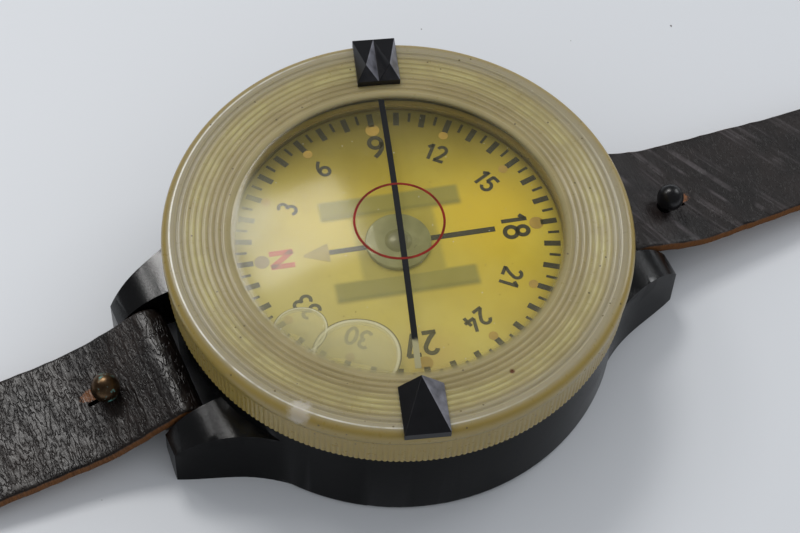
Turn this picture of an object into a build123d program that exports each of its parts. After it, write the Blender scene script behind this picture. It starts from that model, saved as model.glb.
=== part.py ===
from build123d import *
from math import acos, asin, cos, pi, radians, sin, sqrt
import os

# Wrist compass for air crew: a sealed liquid capsule turns in a round case,
# a magnetic card floats inside it, and two leather straps hinge on bars between the lugs.
# Origin: centre of the case's flat underside. +Z is the turning axis, +X runs along the strap.

# Directions at rest, in degrees from +X towards +Y
sight_heading = 73.0
card_heading = 167.3

# Clearances
running_fit = 0.1
seat_gap = 0.3
pin_fit = 0.02
layer_gap = 0.15

# Turning bezel with its clear window
bezel_radius = 29.0
bezel_flare = 0.2
knurl_depth = 0.3
knurl_teeth = 120
knurl_height = 4.0
skirt_wall = 1.5
skirt_depth = 2.8
rim_height = 6.9
rim_round = 1.1
window_inset = 8.4
dome_edge_drop = 0.4
dome_rise = 2.0
dome_thickness = 1.8
ridge_count = 8
ridge_pitch = 0.78
ridge_start = 1.2
ridge_width = 0.5
ridge_depth = 0.18

# Case
case_height = 13.2
case_inset = 0.7
case_edge_round = 0.8
case_floor = 2.2
neck_wall = 2.5

# Lugs
lug_beyond_bar = 3.0
lug_length = 19.0
lug_root_heading = 52.6
lug_root_sink = 0.34
lug_gap = 16.8
lug_end_width = 3.3
lug_end_height = 6.3
lug_crest_height = 9.3
lug_root_height = 11.2
lug_shoulder = 2.0
lug_under_bevel = 2.5

# Retaining ring
retainer_wire = 0.4
retainer_level = 1.4
retainer_gap_angle = 14.0

# Liquid capsule
capsule_wall = 2.9
gasket_thickness = 0.5
gasket_inset = 0.5
capsule_joint_drop = 1.3
washer_thickness = 0.7
washer_width = 2.4
diaphragm_seat_height = 3.3
diaphragm_lip = 0.9
diaphragm_thickness = 0.25
diaphragm_wave = 0.6
diaphragm_waves = 2
clamp_ring_height = 0.9
clamp_ring_width = 2.0
partition_height = 5.3
partition_thickness = 1.5
port_count = 6
port_radius = 1.2
port_inset = 6.4
plug_radius = 1.1
plug_slot = 0.5

# Pivot
post_radius = 1.2
post_foot_radius = 3.0
post_foot_height = 0.8
needle_radius = 0.35
needle_point = 1.1
needle_grip = 1.6
needle_show = 1.55
tip_clearance = 0.05

# Card system
card_gap = 0.7
card_depth = 5.0
card_thickness = 0.4
hub_radius = 4.1
hub_height = 0.5
hub_boss_radius = 1.6
hub_boss_height = 0.5
hub_stem_radius = 2.3
hub_stem_length = 3.2
hub_bore_radius = 1.6
jewel_radius = 0.95
jewel_height = 1.2
jewel_cup_depth = 0.7
jewel_cover = 0.2
carrier_length = 10.4
carrier_corner = 1.0
carrier_thickness = 0.5
magnet_length = 17.5
magnet_width = 2.7
magnet_height = 2.0
magnet_offset = 6.1
dot_inset = 2.8
dot_radius = 0.38
cardinal_dot_radius = 0.6
dot_height = 0.12
arrow_base_radius = 7.5
arrow_tip_radius = 10.8
arrow_half_width = 1.2

# Sights and marks
sight_width = 5.5
sight_length = 6.9
sight_overhang = 0.1
sight_seat_drop = 0.6
sight_lip = 1.1
sight_top = 2.9
notch_peak_spacing = 3.06
notch_peak_inset = 1.4
sight_pin_radius = 0.5
sight_pin_sink = 1.6
sight_pin_spacing = 2.0
sight_pin_rise = 0.7
line_width = 0.75
line_depth = 0.15
line_end_gap = 2.4
level_ring_radius = 5.53
level_ring_width = 0.28

# Strap bars
bar_radius = 0.9
bar_stand = 3.2
bar_z = 6.2
bar_sink = 2.0

# Leather
leather = 1.7
strap_width = 16.0
tip_width = 14.5
fold_back = 11.0
fold_meet = 3.5
fold_bend = 2.5

# Left strap, from the bar outwards and down to the table
left_slope = 24.0
left_first_run = 9.5
left_heel_run = 18.0
left_lift = 8.0
left_flat = 6.0
left_bends = [24.0, 60.0, 15.0, 15.0, 6.0]
left_reach = 74.5
heel_fold = 15.0
prong_slot_width = 3.2
prong_slot_start = 4.5

# Right strap, from the bar outwards and down to the table
right_slope = 22.0
right_first_run = 8.0
right_flat_run = 54.0
right_taper_run = 28.5
right_reach = 114.5
right_bends = [20.0, 60.0]
tip_arc = 13.0
tip_length = 11.0
hole_count = 6
hole_radius = 1.1
hole_spacing = 7.0
hole_to_tip = 26.0

# Ball studs
left_stud_reach = 6.4
right_stud_reach = 5.6
left_stud_aside = 0.3
right_stud_aside = 1.9
left_ball_radius = 1.85
right_ball_radius = 1.75
stud_neck_radius = 0.9
slit_length = 3.4
slit_width = 0.6
screw_radius = 1.5
screw_head = 0.6
screw_shank = 0.5
screw_reach = 2.2

# Buckle and keeper
heel_bar_radius = 0.9
frame_wire = 1.0
frame_side_gap = 0.5
frame_reach = 11.0
frame_corner = 2.6
frame_eye_radius = 1.7
prong_width = 2.2
prong_thickness = 1.1
prong_eye = 0.9
prong_overhang = 1.3
keeper_thickness = 1.0
keeper_width = 5.0
keeper_room = 2.4
keeper_corner = 2.0
keeper_stand = 11.0

# Radii worked out from the driving sizes
knurl_root = bezel_radius - knurl_depth
skirt_bore = knurl_root - skirt_wall
neck_radius = skirt_bore - running_fit
bore_radius = neck_radius - neck_wall
capsule_radius = bore_radius - seat_gap
chamber_radius = capsule_radius - capsule_wall
card_radius = chamber_radius - card_gap
case_radius = bezel_radius - case_inset
top_radius = bezel_radius + bezel_flare
dome_edge_radius = bezel_radius - window_inset
ridge_first_radius = dome_edge_radius + ridge_start
sight_outer = top_radius + sight_overhang
sight_inner_radius = sight_outer - sight_length
line_reach = sight_inner_radius - line_end_gap
port_ring_radius = chamber_radius - port_inset
dot_ring_radius = card_radius - dot_inset

# Heights worked out from the driving sizes
skirt_bottom = case_height + seat_gap
ledge_z = skirt_bottom + skirt_depth
neck_top = ledge_z - seat_gap
rim_top = skirt_bottom + rim_height
dome_edge_z = rim_top - dome_edge_drop
crown_z = dome_edge_z + dome_rise
dome_sphere = (dome_edge_radius**2 + dome_rise**2) / (2 * dome_rise)
washer_top = case_floor + washer_thickness
capsule_bottom = washer_top + seat_gap
capsule_joint_z = ledge_z - capsule_joint_drop
base_top = capsule_joint_z - gasket_thickness
partition_bottom = capsule_bottom + partition_height
partition_top = partition_bottom + partition_thickness
diaphragm_z = capsule_bottom + diaphragm_seat_height
diaphragm_radius = chamber_radius + diaphragm_lip
card_top = crown_z - card_depth
card_bottom = card_top - card_thickness
retainer_z = case_height + retainer_level
seat_z = rim_top - sight_seat_drop
loop_line = bar_radius + running_fit + leather / 2
loop_radius = loop_line + leather / 2
heel_line = heel_bar_radius + running_fit + leather / 2
heel_z = keeper_thickness + heel_line + leather / 2

# Places along the straps, worked out from the case
bar_x = case_radius + bar_stand
lug_reach = bar_x + lug_beyond_bar
heel_x = bar_x + left_reach
left_lift_end = heel_x - left_heel_run
left_lift_start = left_lift_end - left_lift
left_landing = left_lift_start - left_flat
keeper_centre = heel_x - keeper_stand
right_end = bar_x + right_reach
right_landing = right_end - right_flat_run

axis_z = Axis.Z


def dome_height(radius):
    """Height of the window's outer sphere above a radius."""
    return crown_z - dome_sphere + sqrt(dome_sphere**2 - radius**2)


def annulus_height(radius):
    """The ridged ring falls in a straight line from the rim to the window's edge."""
    outer = top_radius - rim_round
    share = (outer - radius) / (outer - dome_edge_radius)
    return rim_top - dome_edge_drop * share


def heading_point(radius, heading, z=0.0):
    """A point at a radius and heading about the turning axis."""
    return Vector(radius * cos(radians(heading)), radius * sin(radians(heading)), z)


def upright_plane(heading):
    """Upright plane through the axis: X runs out along the heading, Y runs up."""
    out = heading_point(1, heading)
    return Plane(origin=(0, 0, 0), x_dir=out, z_dir=(out.Y, -out.X, 0))


def facing_plane(heading, radius):
    """Upright plane square to the heading at a radius, with Y up."""
    out = heading_point(1, heading)
    return Plane(origin=heading_point(radius, heading), x_dir=(-out.Y, out.X, 0), z_dir=out)


def flat_plane(heading, z):
    """Level plane whose X runs along the heading."""
    return Plane(origin=(0, 0, z), x_dir=heading_point(1, heading), z_dir=(0, 0, 1))


os.makedirs("parts", exist_ok=True)


def save(builder, name):
    """Label one finished piece and write it."""
    builder.part.label = name
    export_step(builder.part, f"parts/{name}.step")


# Case: lugs first, then the round body, then the bore that takes the capsule
lug_inner = lug_gap / 2
lug_outer = lug_inner + lug_end_width
lug_root = heading_point(case_radius - lug_root_sink, lug_root_heading)
lug_start = lug_reach - lug_length
with BuildPart() as case:
    with BuildSketch():
        with BuildLine():
            flank = Spline(
                (lug_reach, lug_outer),
                (lug_reach - 4.2, lug_outer + 1.54),
                (lug_reach - 9.2, lug_outer + 3.54),
                (lug_root.X, lug_root.Y),
                tangents=[(-1, 0.45), (-1, 1.02)],
            )
            Polyline(flank @ 1, (lug_root.X, lug_inner), (lug_reach, lug_inner), flank @ 0)
        make_face()
    extrude(amount=lug_root_height)
    with BuildSketch(Plane.XZ):
        with BuildLine():
            fall = Spline(
                (lug_start, lug_root_height),
                (bar_x - 4, (lug_root_height + lug_crest_height) / 2),
                (bar_x - 0.5, lug_crest_height),
                (bar_x + 1.6, (lug_crest_height + lug_end_height) / 2),
                (lug_reach + 0.5, lug_end_height - 1.2),
            )
            Polyline(
                fall @ 1, (lug_reach + 0.5, 2 * lug_root_height), (lug_start, 2 * lug_root_height), fall @ 0
            )
        make_face()
    extrude(amount=-30, mode=Mode.SUBTRACT)
    with BuildSketch(Plane.YZ.offset(bar_x - 6)):
        with BuildLine():
            Polyline(
                (lug_inner, -1),
                (lug_inner + lug_under_bevel, -1),
                (lug_inner + lug_under_bevel, 0),
                (lug_inner, lug_under_bevel + 0.3),
                close=True,
            )
        make_face()
    extrude(amount=20, mode=Mode.SUBTRACT)
    shoulder = case.edges().filter_by(lambda e: e.center().Z > lug_end_height - 1)
    shoulder = shoulder.filter_by(lambda e: e.length > 10).sort_by(Axis.Y)[-1]
    fillet(shoulder, radius=lug_shoulder)
    mirror(about=Plane.XZ)
    mirror(about=Plane.YZ)
    with BuildSketch(Plane.XZ):
        edge_centre = case_radius - case_edge_round
        edge_diagonal = case_edge_round / sqrt(2)
        with BuildLine():
            Line((0, 0), (edge_centre, 0))
            ThreePointArc(
                (edge_centre, 0),
                (edge_centre + edge_diagonal, case_edge_round - edge_diagonal),
                (case_radius, case_edge_round),
            )
            Polyline(
                (case_radius, case_edge_round),
                (case_radius, case_height),
                (neck_radius, case_height),
                (neck_radius, neck_top),
                (0, neck_top),
                (0, 0),
            )
        make_face()
    revolve(axis=axis_z)
    with BuildSketch(Plane.XY.offset(case_floor)):
        Circle(bore_radius)
    extrude(amount=neck_top, mode=Mode.SUBTRACT)
    with BuildSketch(Plane.XZ):
        with Locations((neck_radius, retainer_z)):
            Rectangle(2 * retainer_wire + 0.2, 2 * (retainer_wire + pin_fit))
    revolve(axis=axis_z, mode=Mode.SUBTRACT)
    for side in (-1, 1):
        with Locations(Plane(origin=(side * bar_x, 0, bar_z), z_dir=(0, 1, 0))):
            Cylinder(bar_radius + pin_fit, lug_gap + 2 * (bar_sink + pin_fit), mode=Mode.SUBTRACT)
save(case, "case")

# Two steel bars carry the straps between the lugs
for side, name in ((-1, "strap_bar_left"), (1, "strap_bar_right")):
    with BuildPart() as strap_bar:
        with BuildSketch(Plane(origin=(side * bar_x, 0, bar_z), z_dir=(0, 1, 0))):
            Circle(bar_radius)
        extrude(amount=lug_gap / 2 + bar_sink, both=True)
        chamfer(strap_bar.edges().filter_by(GeomType.CIRCLE), length=bar_radius / 4)
    save(strap_bar, name)

# Split ring of square wire that keeps the bezel on the neck
with BuildPart() as retaining_ring:
    with BuildSketch(Plane.XZ):
        with Locations((neck_radius, retainer_z)):
            Rectangle(2 * retainer_wire, 2 * retainer_wire)
    revolve(axis=axis_z, revolution_arc=360 - retainer_gap_angle)
save(retaining_ring, "retaining_ring")

# Felt washer on the case floor that steadies the turning capsule
with BuildPart() as friction_washer:
    with BuildSketch(Plane.XY.offset(case_floor)):
        Circle(capsule_radius)
        Circle(capsule_radius - washer_width, mode=Mode.SUBTRACT)
    extrude(amount=washer_thickness)
save(friction_washer, "friction_washer")

def dome_layer(lower, upper):
    """Layer between two depths under the window's outer sphere."""
    reach = line_reach + line_width
    with BuildPart() as layer:
        with BuildSketch(Plane.XZ):
            with BuildLine():
                ThreePointArc(
                    (0, crown_z - lower),
                    (reach / 2, dome_height(reach / 2) - lower),
                    (reach, dome_height(reach) - lower),
                )
                Line((reach, dome_height(reach) - lower), (reach, dome_height(reach) - upper))
                ThreePointArc(
                    (reach, dome_height(reach) - upper),
                    (reach / 2, dome_height(reach / 2) - upper),
                    (0, crown_z - upper),
                )
                Line((0, crown_z - upper), (0, crown_z - lower))
            make_face()
        revolve(axis=axis_z)
    return layer.part


# Grooves in the window for the course line and the levelling ring
with BuildPart() as mark_grooves:
    with BuildSketch(flat_plane(sight_heading, dome_edge_z - 1)):
        Circle(level_ring_radius + level_ring_width / 2)
        Circle(level_ring_radius - level_ring_width / 2, mode=Mode.SUBTRACT)
        Rectangle(2 * line_reach, line_width)
    extrude(amount=dome_rise + 3)
    add(dome_layer(line_depth, -1), mode=Mode.INTERSECT)

# Clear bezel: knurled skirt, rounded rim, ridged ring and domed window in one moulding
with BuildPart() as bezel_dome:
    with BuildSketch(Plane.XZ):
        retainer_room = skirt_bore + retainer_wire - running_fit + seat_gap
        ridge_points = []
        for ridge in reversed(range(ridge_count)):
            middle = ridge_first_radius + ridge * ridge_pitch
            for shift, drop in ((ridge_width / 2, 0), (0, ridge_depth), (-ridge_width / 2, 0)):
                ridge_points.append((middle + shift, annulus_height(middle + shift) - drop))
        rim_centre = (top_radius - rim_round, rim_top - rim_round)
        diagonal = rim_round / sqrt(2)
        under_edge = chamber_radius
        with BuildLine():
            Polyline(
                (skirt_bore, skirt_bottom),
                (knurl_root, skirt_bottom),
                (knurl_root, skirt_bottom + knurl_height),
                (bezel_radius, skirt_bottom + knurl_height + knurl_depth),
                (top_radius, rim_top - rim_round),
            )
            ThreePointArc(
                (top_radius, rim_top - rim_round),
                (rim_centre[0] + diagonal, rim_centre[1] + diagonal),
                (rim_centre[0], rim_top),
            )
            Polyline((rim_centre[0], rim_top), *ridge_points, (dome_edge_radius, dome_edge_z))
            ThreePointArc(
                (dome_edge_radius, dome_edge_z),
                (dome_edge_radius / 2, dome_height(dome_edge_radius / 2)),
                (0, crown_z),
            )
            Line((0, crown_z), (0, crown_z - dome_thickness))
            ThreePointArc(
                (0, crown_z - dome_thickness),
                (under_edge / 2, dome_height(under_edge / 2) - dome_thickness),
                (under_edge, dome_height(under_edge) - dome_thickness),
            )
            Polyline(
                (under_edge, dome_height(under_edge) - dome_thickness),
                (chamber_radius, capsule_joint_z),
                (capsule_radius, capsule_joint_z),
                (capsule_radius, ledge_z),
                (skirt_bore, ledge_z),
                (skirt_bore, retainer_z + retainer_wire + seat_gap),
                (retainer_room, retainer_z + retainer_wire + seat_gap),
                (retainer_room, retainer_z - retainer_wire - seat_gap),
                (skirt_bore, retainer_z - retainer_wire - seat_gap),
                (skirt_bore, skirt_bottom),
            )
        make_face()
    revolve(axis=axis_z)
    with BuildSketch(Plane.XY.offset(skirt_bottom)):
        tooth = pi / knurl_teeth
        tips = [
            (radius * cos(step * tooth), radius * sin(step * tooth))
            for step in range(2 * knurl_teeth)
            for radius in ((bezel_radius, knurl_root)[step % 2],)
        ]
        with BuildLine():
            Polyline(*tips, close=True)
        make_face()
        Circle(knurl_root - skirt_wall / 3, mode=Mode.SUBTRACT)
    extrude(amount=knurl_height)
    for heading in (sight_heading, sight_heading + 180):
        with BuildSketch(flat_plane(heading, seat_z)):
            with Locations(((sight_inner_radius + top_radius + 1) / 2, 0)):
                Rectangle(top_radius + 1 - sight_inner_radius + 2 * pin_fit, sight_width + 2 * pin_fit)
        extrude(amount=rim_top, mode=Mode.SUBTRACT)
        pin_circle = (sight_inner_radius + top_radius) / 2
        with BuildSketch(flat_plane(heading, seat_z)):
            with Locations((pin_circle, -sight_pin_spacing / 2), (pin_circle, sight_pin_spacing / 2)):
                Circle(sight_pin_radius + pin_fit)
        extrude(amount=-(sight_pin_sink + pin_fit), mode=Mode.SUBTRACT)
    add(mark_grooves.part, mode=Mode.SUBTRACT)
save(bezel_dome, "bezel_dome")

# Black course line and red levelling ring, laid flush in the window's grooves
with BuildPart() as course_line:
    with BuildSketch(flat_plane(sight_heading, dome_edge_z - 1)):
        Rectangle(2 * line_reach, line_width)
        Circle(level_ring_radius + level_ring_width / 2, mode=Mode.SUBTRACT)
    with BuildSketch(flat_plane(sight_heading, dome_edge_z - 1)):
        Circle(level_ring_radius - level_ring_width / 2)
        Rectangle(2 * line_reach, line_width, mode=Mode.INTERSECT)
    extrude(amount=dome_rise + 3)
    add(dome_layer(line_depth, 0), mode=Mode.INTERSECT)
save(course_line, "course_line")

with BuildPart() as level_ring:
    with BuildSketch(Plane.XY.offset(dome_edge_z - 1)):
        Circle(level_ring_radius + level_ring_width / 2)
        Circle(level_ring_radius - level_ring_width / 2, mode=Mode.SUBTRACT)
    extrude(amount=dome_rise + 3)
    add(dome_layer(line_depth, 0), mode=Mode.INTERSECT)
save(level_ring, "level_ring")

# Front sight: a low pyramid whose ridge ends in a point over the window's edge
lip_z = seat_z + sight_lip
with BuildPart() as front_sight:
    with BuildSketch(upright_plane(sight_heading + 180)):
        with BuildLine():
            Polyline(
                (sight_inner_radius, seat_z),
                (sight_outer, seat_z),
                (sight_outer, lip_z),
                (sight_inner_radius + 0.1, seat_z + sight_top),
                (sight_inner_radius, seat_z + sight_top - 0.1),
                close=True,
            )
        make_face()
    extrude(amount=sight_width / 2, both=True)
    half = sight_width / 2
    front_plane = upright_plane(sight_heading + 180)
    apex = front_plane.from_local_coords((sight_inner_radius + 0.1, seat_z + sight_top, 0))
    for side in (-1, 1):
        corner = front_plane.from_local_coords((sight_outer, lip_z, side * half))
        foot = front_plane.from_local_coords((sight_inner_radius, seat_z + sight_lip / 2, side * half))
        normal = (corner - apex).cross(foot - apex)
        if normal.Z < 0:
            normal = normal * -1
        split(bisect_by=Plane(origin=apex, z_dir=normal), keep=Keep.BOTTOM)
    with BuildSketch(flat_plane(sight_heading + 180, seat_z)):
        with Locations((pin_circle, -sight_pin_spacing / 2), (pin_circle, sight_pin_spacing / 2)):
            Circle(sight_pin_radius + pin_fit)
    extrude(amount=sight_pin_rise + pin_fit, mode=Mode.SUBTRACT)
save(front_sight, "front_sight")

# Rear sight: twin peaks with a V notch between them
with BuildPart() as rear_sight:
    with BuildSketch(upright_plane(sight_heading)):
        with BuildLine():
            Polyline(
                (sight_inner_radius, seat_z),
                (sight_outer, seat_z),
                (sight_outer, lip_z),
                (sight_inner_radius + notch_peak_inset, seat_z + sight_top),
                (sight_inner_radius, seat_z + sight_lip),
                close=True,
            )
        make_face()
    extrude(amount=sight_width / 2, both=True)
    with BuildSketch(facing_plane(sight_heading, 0)):
        with BuildLine():
            peak = notch_peak_spacing / 2
            Polyline(
                (-sight_width / 2, seat_z),
                (sight_width / 2, seat_z),
                (sight_width / 2, lip_z),
                (peak, seat_z + sight_top),
                (0, lip_z),
                (-peak, seat_z + sight_top),
                (-sight_width / 2, lip_z),
                close=True,
            )
        make_face()
    extrude(amount=sight_outer + 1, mode=Mode.INTERSECT)
    with BuildSketch(flat_plane(sight_heading, seat_z)):
        with Locations((pin_circle, -sight_pin_spacing / 2), (pin_circle, sight_pin_spacing / 2)):
            Circle(sight_pin_radius + pin_fit)
    extrude(amount=sight_pin_rise + pin_fit, mode=Mode.SUBTRACT)
save(rear_sight, "rear_sight")

# Four pins hold the sights in the bezel
with BuildPart() as sight_pins:
    for heading in (sight_heading, sight_heading + 180):
        with BuildSketch(flat_plane(heading, seat_z - sight_pin_sink)):
            with Locations((pin_circle, -sight_pin_spacing / 2), (pin_circle, sight_pin_spacing / 2)):
                Circle(sight_pin_radius)
        extrude(amount=sight_pin_sink + sight_pin_rise)
save(sight_pins, "sight_pins")

# Gasket in the joint between the bezel moulding and the capsule's base
with BuildPart() as capsule_gasket:
    with BuildSketch(Plane.XY.offset(base_top)):
        Circle(capsule_radius - gasket_inset)
        Circle(chamber_radius + gasket_inset, mode=Mode.SUBTRACT)
    extrude(amount=gasket_thickness)
save(capsule_gasket, "capsule_gasket")

# Capsule base: a cup with a ported partition above the expansion chamber
with BuildPart() as capsule_base:
    with BuildSketch(Plane.XZ):
        with BuildLine():
            Polyline(
                (0, partition_bottom),
                (chamber_radius, partition_bottom),
                (chamber_radius, diaphragm_z),
                (diaphragm_radius + pin_fit, diaphragm_z),
                (diaphragm_radius + pin_fit, capsule_bottom),
                (capsule_radius, capsule_bottom),
                (capsule_radius, base_top),
                (chamber_radius, base_top),
                (chamber_radius, partition_top),
                (0, partition_top),
                close=True,
            )
        make_face()
    revolve(axis=axis_z)
    with BuildSketch(Plane.XY.offset(partition_bottom)):
        Circle(post_radius + pin_fit)
        with PolarLocations(port_ring_radius, port_count):
            Circle(port_radius)
    extrude(amount=partition_thickness, mode=Mode.SUBTRACT)
    plug_z = (partition_top + base_top) / 2
    with BuildSketch(facing_plane(sight_heading + 90, chamber_radius - 1)):
        with Locations((0, plug_z)):
            Circle(plug_radius + pin_fit)
    extrude(amount=capsule_wall + 2, mode=Mode.SUBTRACT)
save(capsule_base, "capsule_base")

# Slotted plug that closes the filling hole
with BuildPart() as filler_plug:
    plug_length = capsule_wall - 2 * seat_gap
    with BuildSketch(facing_plane(sight_heading + 90, chamber_radius + seat_gap)):
        with Locations((0, plug_z)):
            Circle(plug_radius)
    extrude(amount=plug_length)
    with BuildSketch(facing_plane(sight_heading + 90, chamber_radius + seat_gap + plug_length)):
        with Locations((0, plug_z)):
            Rectangle(3 * plug_radius, plug_slot)
    extrude(amount=-plug_slot, mode=Mode.SUBTRACT)
save(filler_plug, "filler_plug")

# Corrugated diaphragm that takes up the liquid's expansion
with BuildPart() as expansion_diaphragm:
    wave_start = diaphragm_radius - clamp_ring_width - seat_gap
    half_wave = wave_start / (2 * diaphragm_waves + 1)
    upper = [(diaphragm_radius, diaphragm_z), (wave_start, diaphragm_z)]
    for wave in range(2 * diaphragm_waves):
        middle = wave_start - (wave + 0.5) * half_wave
        upper.append((middle, diaphragm_z - diaphragm_wave * (-1) ** wave))
    upper += [(half_wave, diaphragm_z), (0, diaphragm_z)]
    lower = [(radius, level - diaphragm_thickness) for radius, level in reversed(upper)]
    with BuildSketch(Plane.XZ):
        with BuildLine():
            Polyline(*upper, *lower, close=True)
        make_face()
    revolve(axis=axis_z)
save(expansion_diaphragm, "expansion_diaphragm")

# Ring that clamps the diaphragm, with two holes for a pin spanner
with BuildPart() as clamp_ring:
    clamp_top = diaphragm_z - diaphragm_thickness
    with BuildSketch(Plane.XY.offset(clamp_top)):
        Circle(diaphragm_radius)
        Circle(diaphragm_radius - clamp_ring_width, mode=Mode.SUBTRACT)
        with PolarLocations(diaphragm_radius - clamp_ring_width / 2, 2):
            Circle(clamp_ring_width / 4, mode=Mode.SUBTRACT)
    extrude(amount=-clamp_ring_height)
save(clamp_ring, "clamp_ring")

# Pivot post with a foot on the partition and a bore for the needle
jewel_top = card_top + hub_height - jewel_cover
jewel_bottom = jewel_top - jewel_height
cup_apex = jewel_bottom + jewel_cup_depth
tip_z = cup_apex - tip_clearance
post_top = tip_z - needle_show
needle_bottom = post_top - needle_grip
with BuildPart() as pivot_post:
    with BuildSketch(Plane.XZ):
        with BuildLine():
            Polyline(
                (0, partition_bottom),
                (post_radius, partition_bottom),
                (post_radius, partition_top),
                (post_foot_radius, partition_top),
                (post_foot_radius, partition_top + post_foot_height / 2),
                (post_radius + 0.3, partition_top + post_foot_height),
                (post_radius, partition_top + 2 * post_foot_height),
                (post_radius, post_top - post_radius / 2),
                (post_radius / 2, post_top),
                (needle_radius + pin_fit, post_top),
                (needle_radius + pin_fit, needle_bottom),
                (0, needle_bottom),
                close=True,
            )
        make_face()
    revolve(axis=axis_z)
save(pivot_post, "pivot_post")

# Hardened needle whose point carries the card
with BuildPart() as pivot_needle:
    with BuildSketch(Plane.XZ):
        with BuildLine():
            Polyline(
                (0, needle_bottom),
                (needle_radius, needle_bottom),
                (needle_radius, tip_z - needle_point),
                (0, tip_z),
                close=True,
            )
        make_face()
    revolve(axis=axis_z)
save(pivot_needle, "pivot_needle")

# Jewel cup that rides on the needle
with BuildPart() as jewel_cup:
    with BuildSketch(Plane.XZ):
        with BuildLine():
            Polyline(
                (0, cup_apex),
                (jewel_cup_depth, jewel_bottom),
                (jewel_radius, jewel_bottom),
                (jewel_radius, jewel_top),
                (0, jewel_top),
                close=True,
            )
        make_face()
    revolve(axis=axis_z)
save(jewel_cup, "jewel_cup")

# Hub through the card's centre, with the jewel in its bore
with BuildPart() as card_hub:
    stem_bottom = card_top - hub_stem_length
    hub_top = card_top + hub_height
    with BuildSketch(Plane.XZ):
        with BuildLine():
            Polyline(
                (0, jewel_top),
                (jewel_radius + pin_fit, jewel_top),
                (jewel_radius + pin_fit, jewel_bottom),
                (hub_bore_radius, jewel_bottom),
                (hub_bore_radius, stem_bottom),
                (hub_stem_radius, stem_bottom),
                (hub_stem_radius, card_top),
                (hub_radius, card_top),
                (hub_radius, hub_top - hub_height / 3),
                (hub_radius - hub_height / 3, hub_top),
                (hub_boss_radius, hub_top),
            )
            boss_sphere = (hub_boss_radius**2 + hub_boss_height**2) / (2 * hub_boss_height)
            boss_side = sqrt(boss_sphere**2 - hub_boss_radius**2 / 4)
            ThreePointArc(
                (hub_boss_radius, hub_top),
                (hub_boss_radius / 2, hub_top + hub_boss_height - boss_sphere + boss_side),
                (0, hub_top + hub_boss_height),
            )
            Line((0, hub_top + hub_boss_height), (0, jewel_top))
        make_face()
    revolve(axis=axis_z)
save(card_hub, "card_hub")

# Card disc
with BuildPart() as compass_card:
    with BuildSketch(Plane.XY.offset(card_bottom)):
        Circle(card_radius)
        Circle(hub_stem_radius + pin_fit, mode=Mode.SUBTRACT)
    extrude(amount=card_thickness)
save(compass_card, "compass_card")

# Plate under the card that holds the two magnets
with BuildPart() as magnet_carrier:
    with BuildSketch(flat_plane(card_heading, card_bottom - carrier_thickness)):
        RectangleRounded(carrier_length, 2 * magnet_offset + magnet_width, carrier_corner)
        Circle(hub_stem_radius + pin_fit, mode=Mode.SUBTRACT)
    extrude(amount=carrier_thickness)
save(magnet_carrier, "magnet_carrier")

with BuildPart() as magnet_bars:
    magnet_top = card_bottom - carrier_thickness
    with BuildSketch(flat_plane(card_heading, magnet_top)):
        with GridLocations(1, 2 * magnet_offset, 1, 2):
            Rectangle(magnet_length, magnet_width)
    extrude(amount=-magnet_height)
    chamfer(magnet_bars.edges().group_by(Axis.Z)[0], length=magnet_height / 8)
save(magnet_bars, "magnet_bars")

# Luminous spots outside the figures, larger at the four main points
with BuildPart() as luminous_dots:
    with BuildSketch(flat_plane(card_heading, card_top)):
        for step in range(12):
            with PolarLocations(dot_ring_radius, 1, start_angle=30 * step):
                Circle(cardinal_dot_radius if step % 3 == 0 else dot_radius)
    extrude(amount=dot_height)
save(luminous_dots, "luminous_dots")

# Luminous arrowhead between the hub and the north mark
with BuildPart() as north_arrow:
    with BuildSketch(flat_plane(card_heading, card_top)):
        with BuildLine():
            Polyline(
                (arrow_base_radius, -arrow_half_width),
                (arrow_tip_radius, 0),
                (arrow_base_radius, arrow_half_width),
                close=True,
            )
        make_face()
    extrude(amount=dot_height)
save(north_arrow, "north_arrow")


# Straps: each path is drawn in its own upright plane, outwards from the bar and up
def side_plane(side):
    """Upright plane whose X runs outwards on one side of the case."""
    return Plane(origin=(0, 0, 0), x_dir=(side, 0, 0), z_dir=(0, -side, 0))


def along(slope, reach, rise):
    """A point out along the strap's first run and up from it, measured from the bar."""
    down = radians(slope)
    return (
        bar_x + reach * cos(down) + rise * sin(down),
        bar_z - reach * sin(down) + rise * cos(down),
    )


def stud_plane(side, slope, reach, aside, rise):
    """Plane square to the strap's first run at a stud, with X along the strap."""
    down = radians(slope)
    out, up = along(slope, reach, rise)
    return Plane(
        origin=(side * out, -aside, up),
        x_dir=(side * cos(down), 0, -sin(down)),
        z_dir=(side * sin(down), 0, cos(down)),
    )


def lug_fold(slope):
    """Short end back under the strap, and round the bar to the first run."""
    turn = acos(loop_line / fold_meet)
    low = along(slope, loop_line * cos(turn), -loop_line * sin(turn))
    FilletPolyline(along(slope, fold_back, 0), along(slope, fold_meet, 0), low, radius=fold_bend)
    ThreePointArc(low, along(slope, -loop_line, 0), along(slope, 0, loop_line))


def swept_leather(path):
    """A flat strip of leather along a path."""
    start = Plane(origin=path @ 0, x_dir=(0, 1, 0), z_dir=path % 0)
    with BuildSketch(start) as strip:
        Rectangle(strap_width, leather)
    sweep(sections=strip.sketch, path=path)


def stud_slit(side, slope, reach, aside):
    """Slit in the strap for the stud's neck, and the hole in the short end below it."""
    level = leather / 2 + layer_gap / 2
    with BuildSketch(stud_plane(side, slope, reach, aside, level)) as slit:
        Circle(stud_neck_radius + running_fit)
        with Locations((slit_length / 2, 0)):
            SlotOverall(slit_length, slit_width)
    extrude(slit.sketch, amount=leather + layer_gap, mode=Mode.SUBTRACT)
    with BuildSketch(stud_plane(side, slope, reach, aside, level)) as neck_hole:
        Circle(stud_neck_radius + pin_fit)
    extrude(neck_hole.sketch, amount=-(leather + layer_gap), mode=Mode.SUBTRACT)


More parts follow.
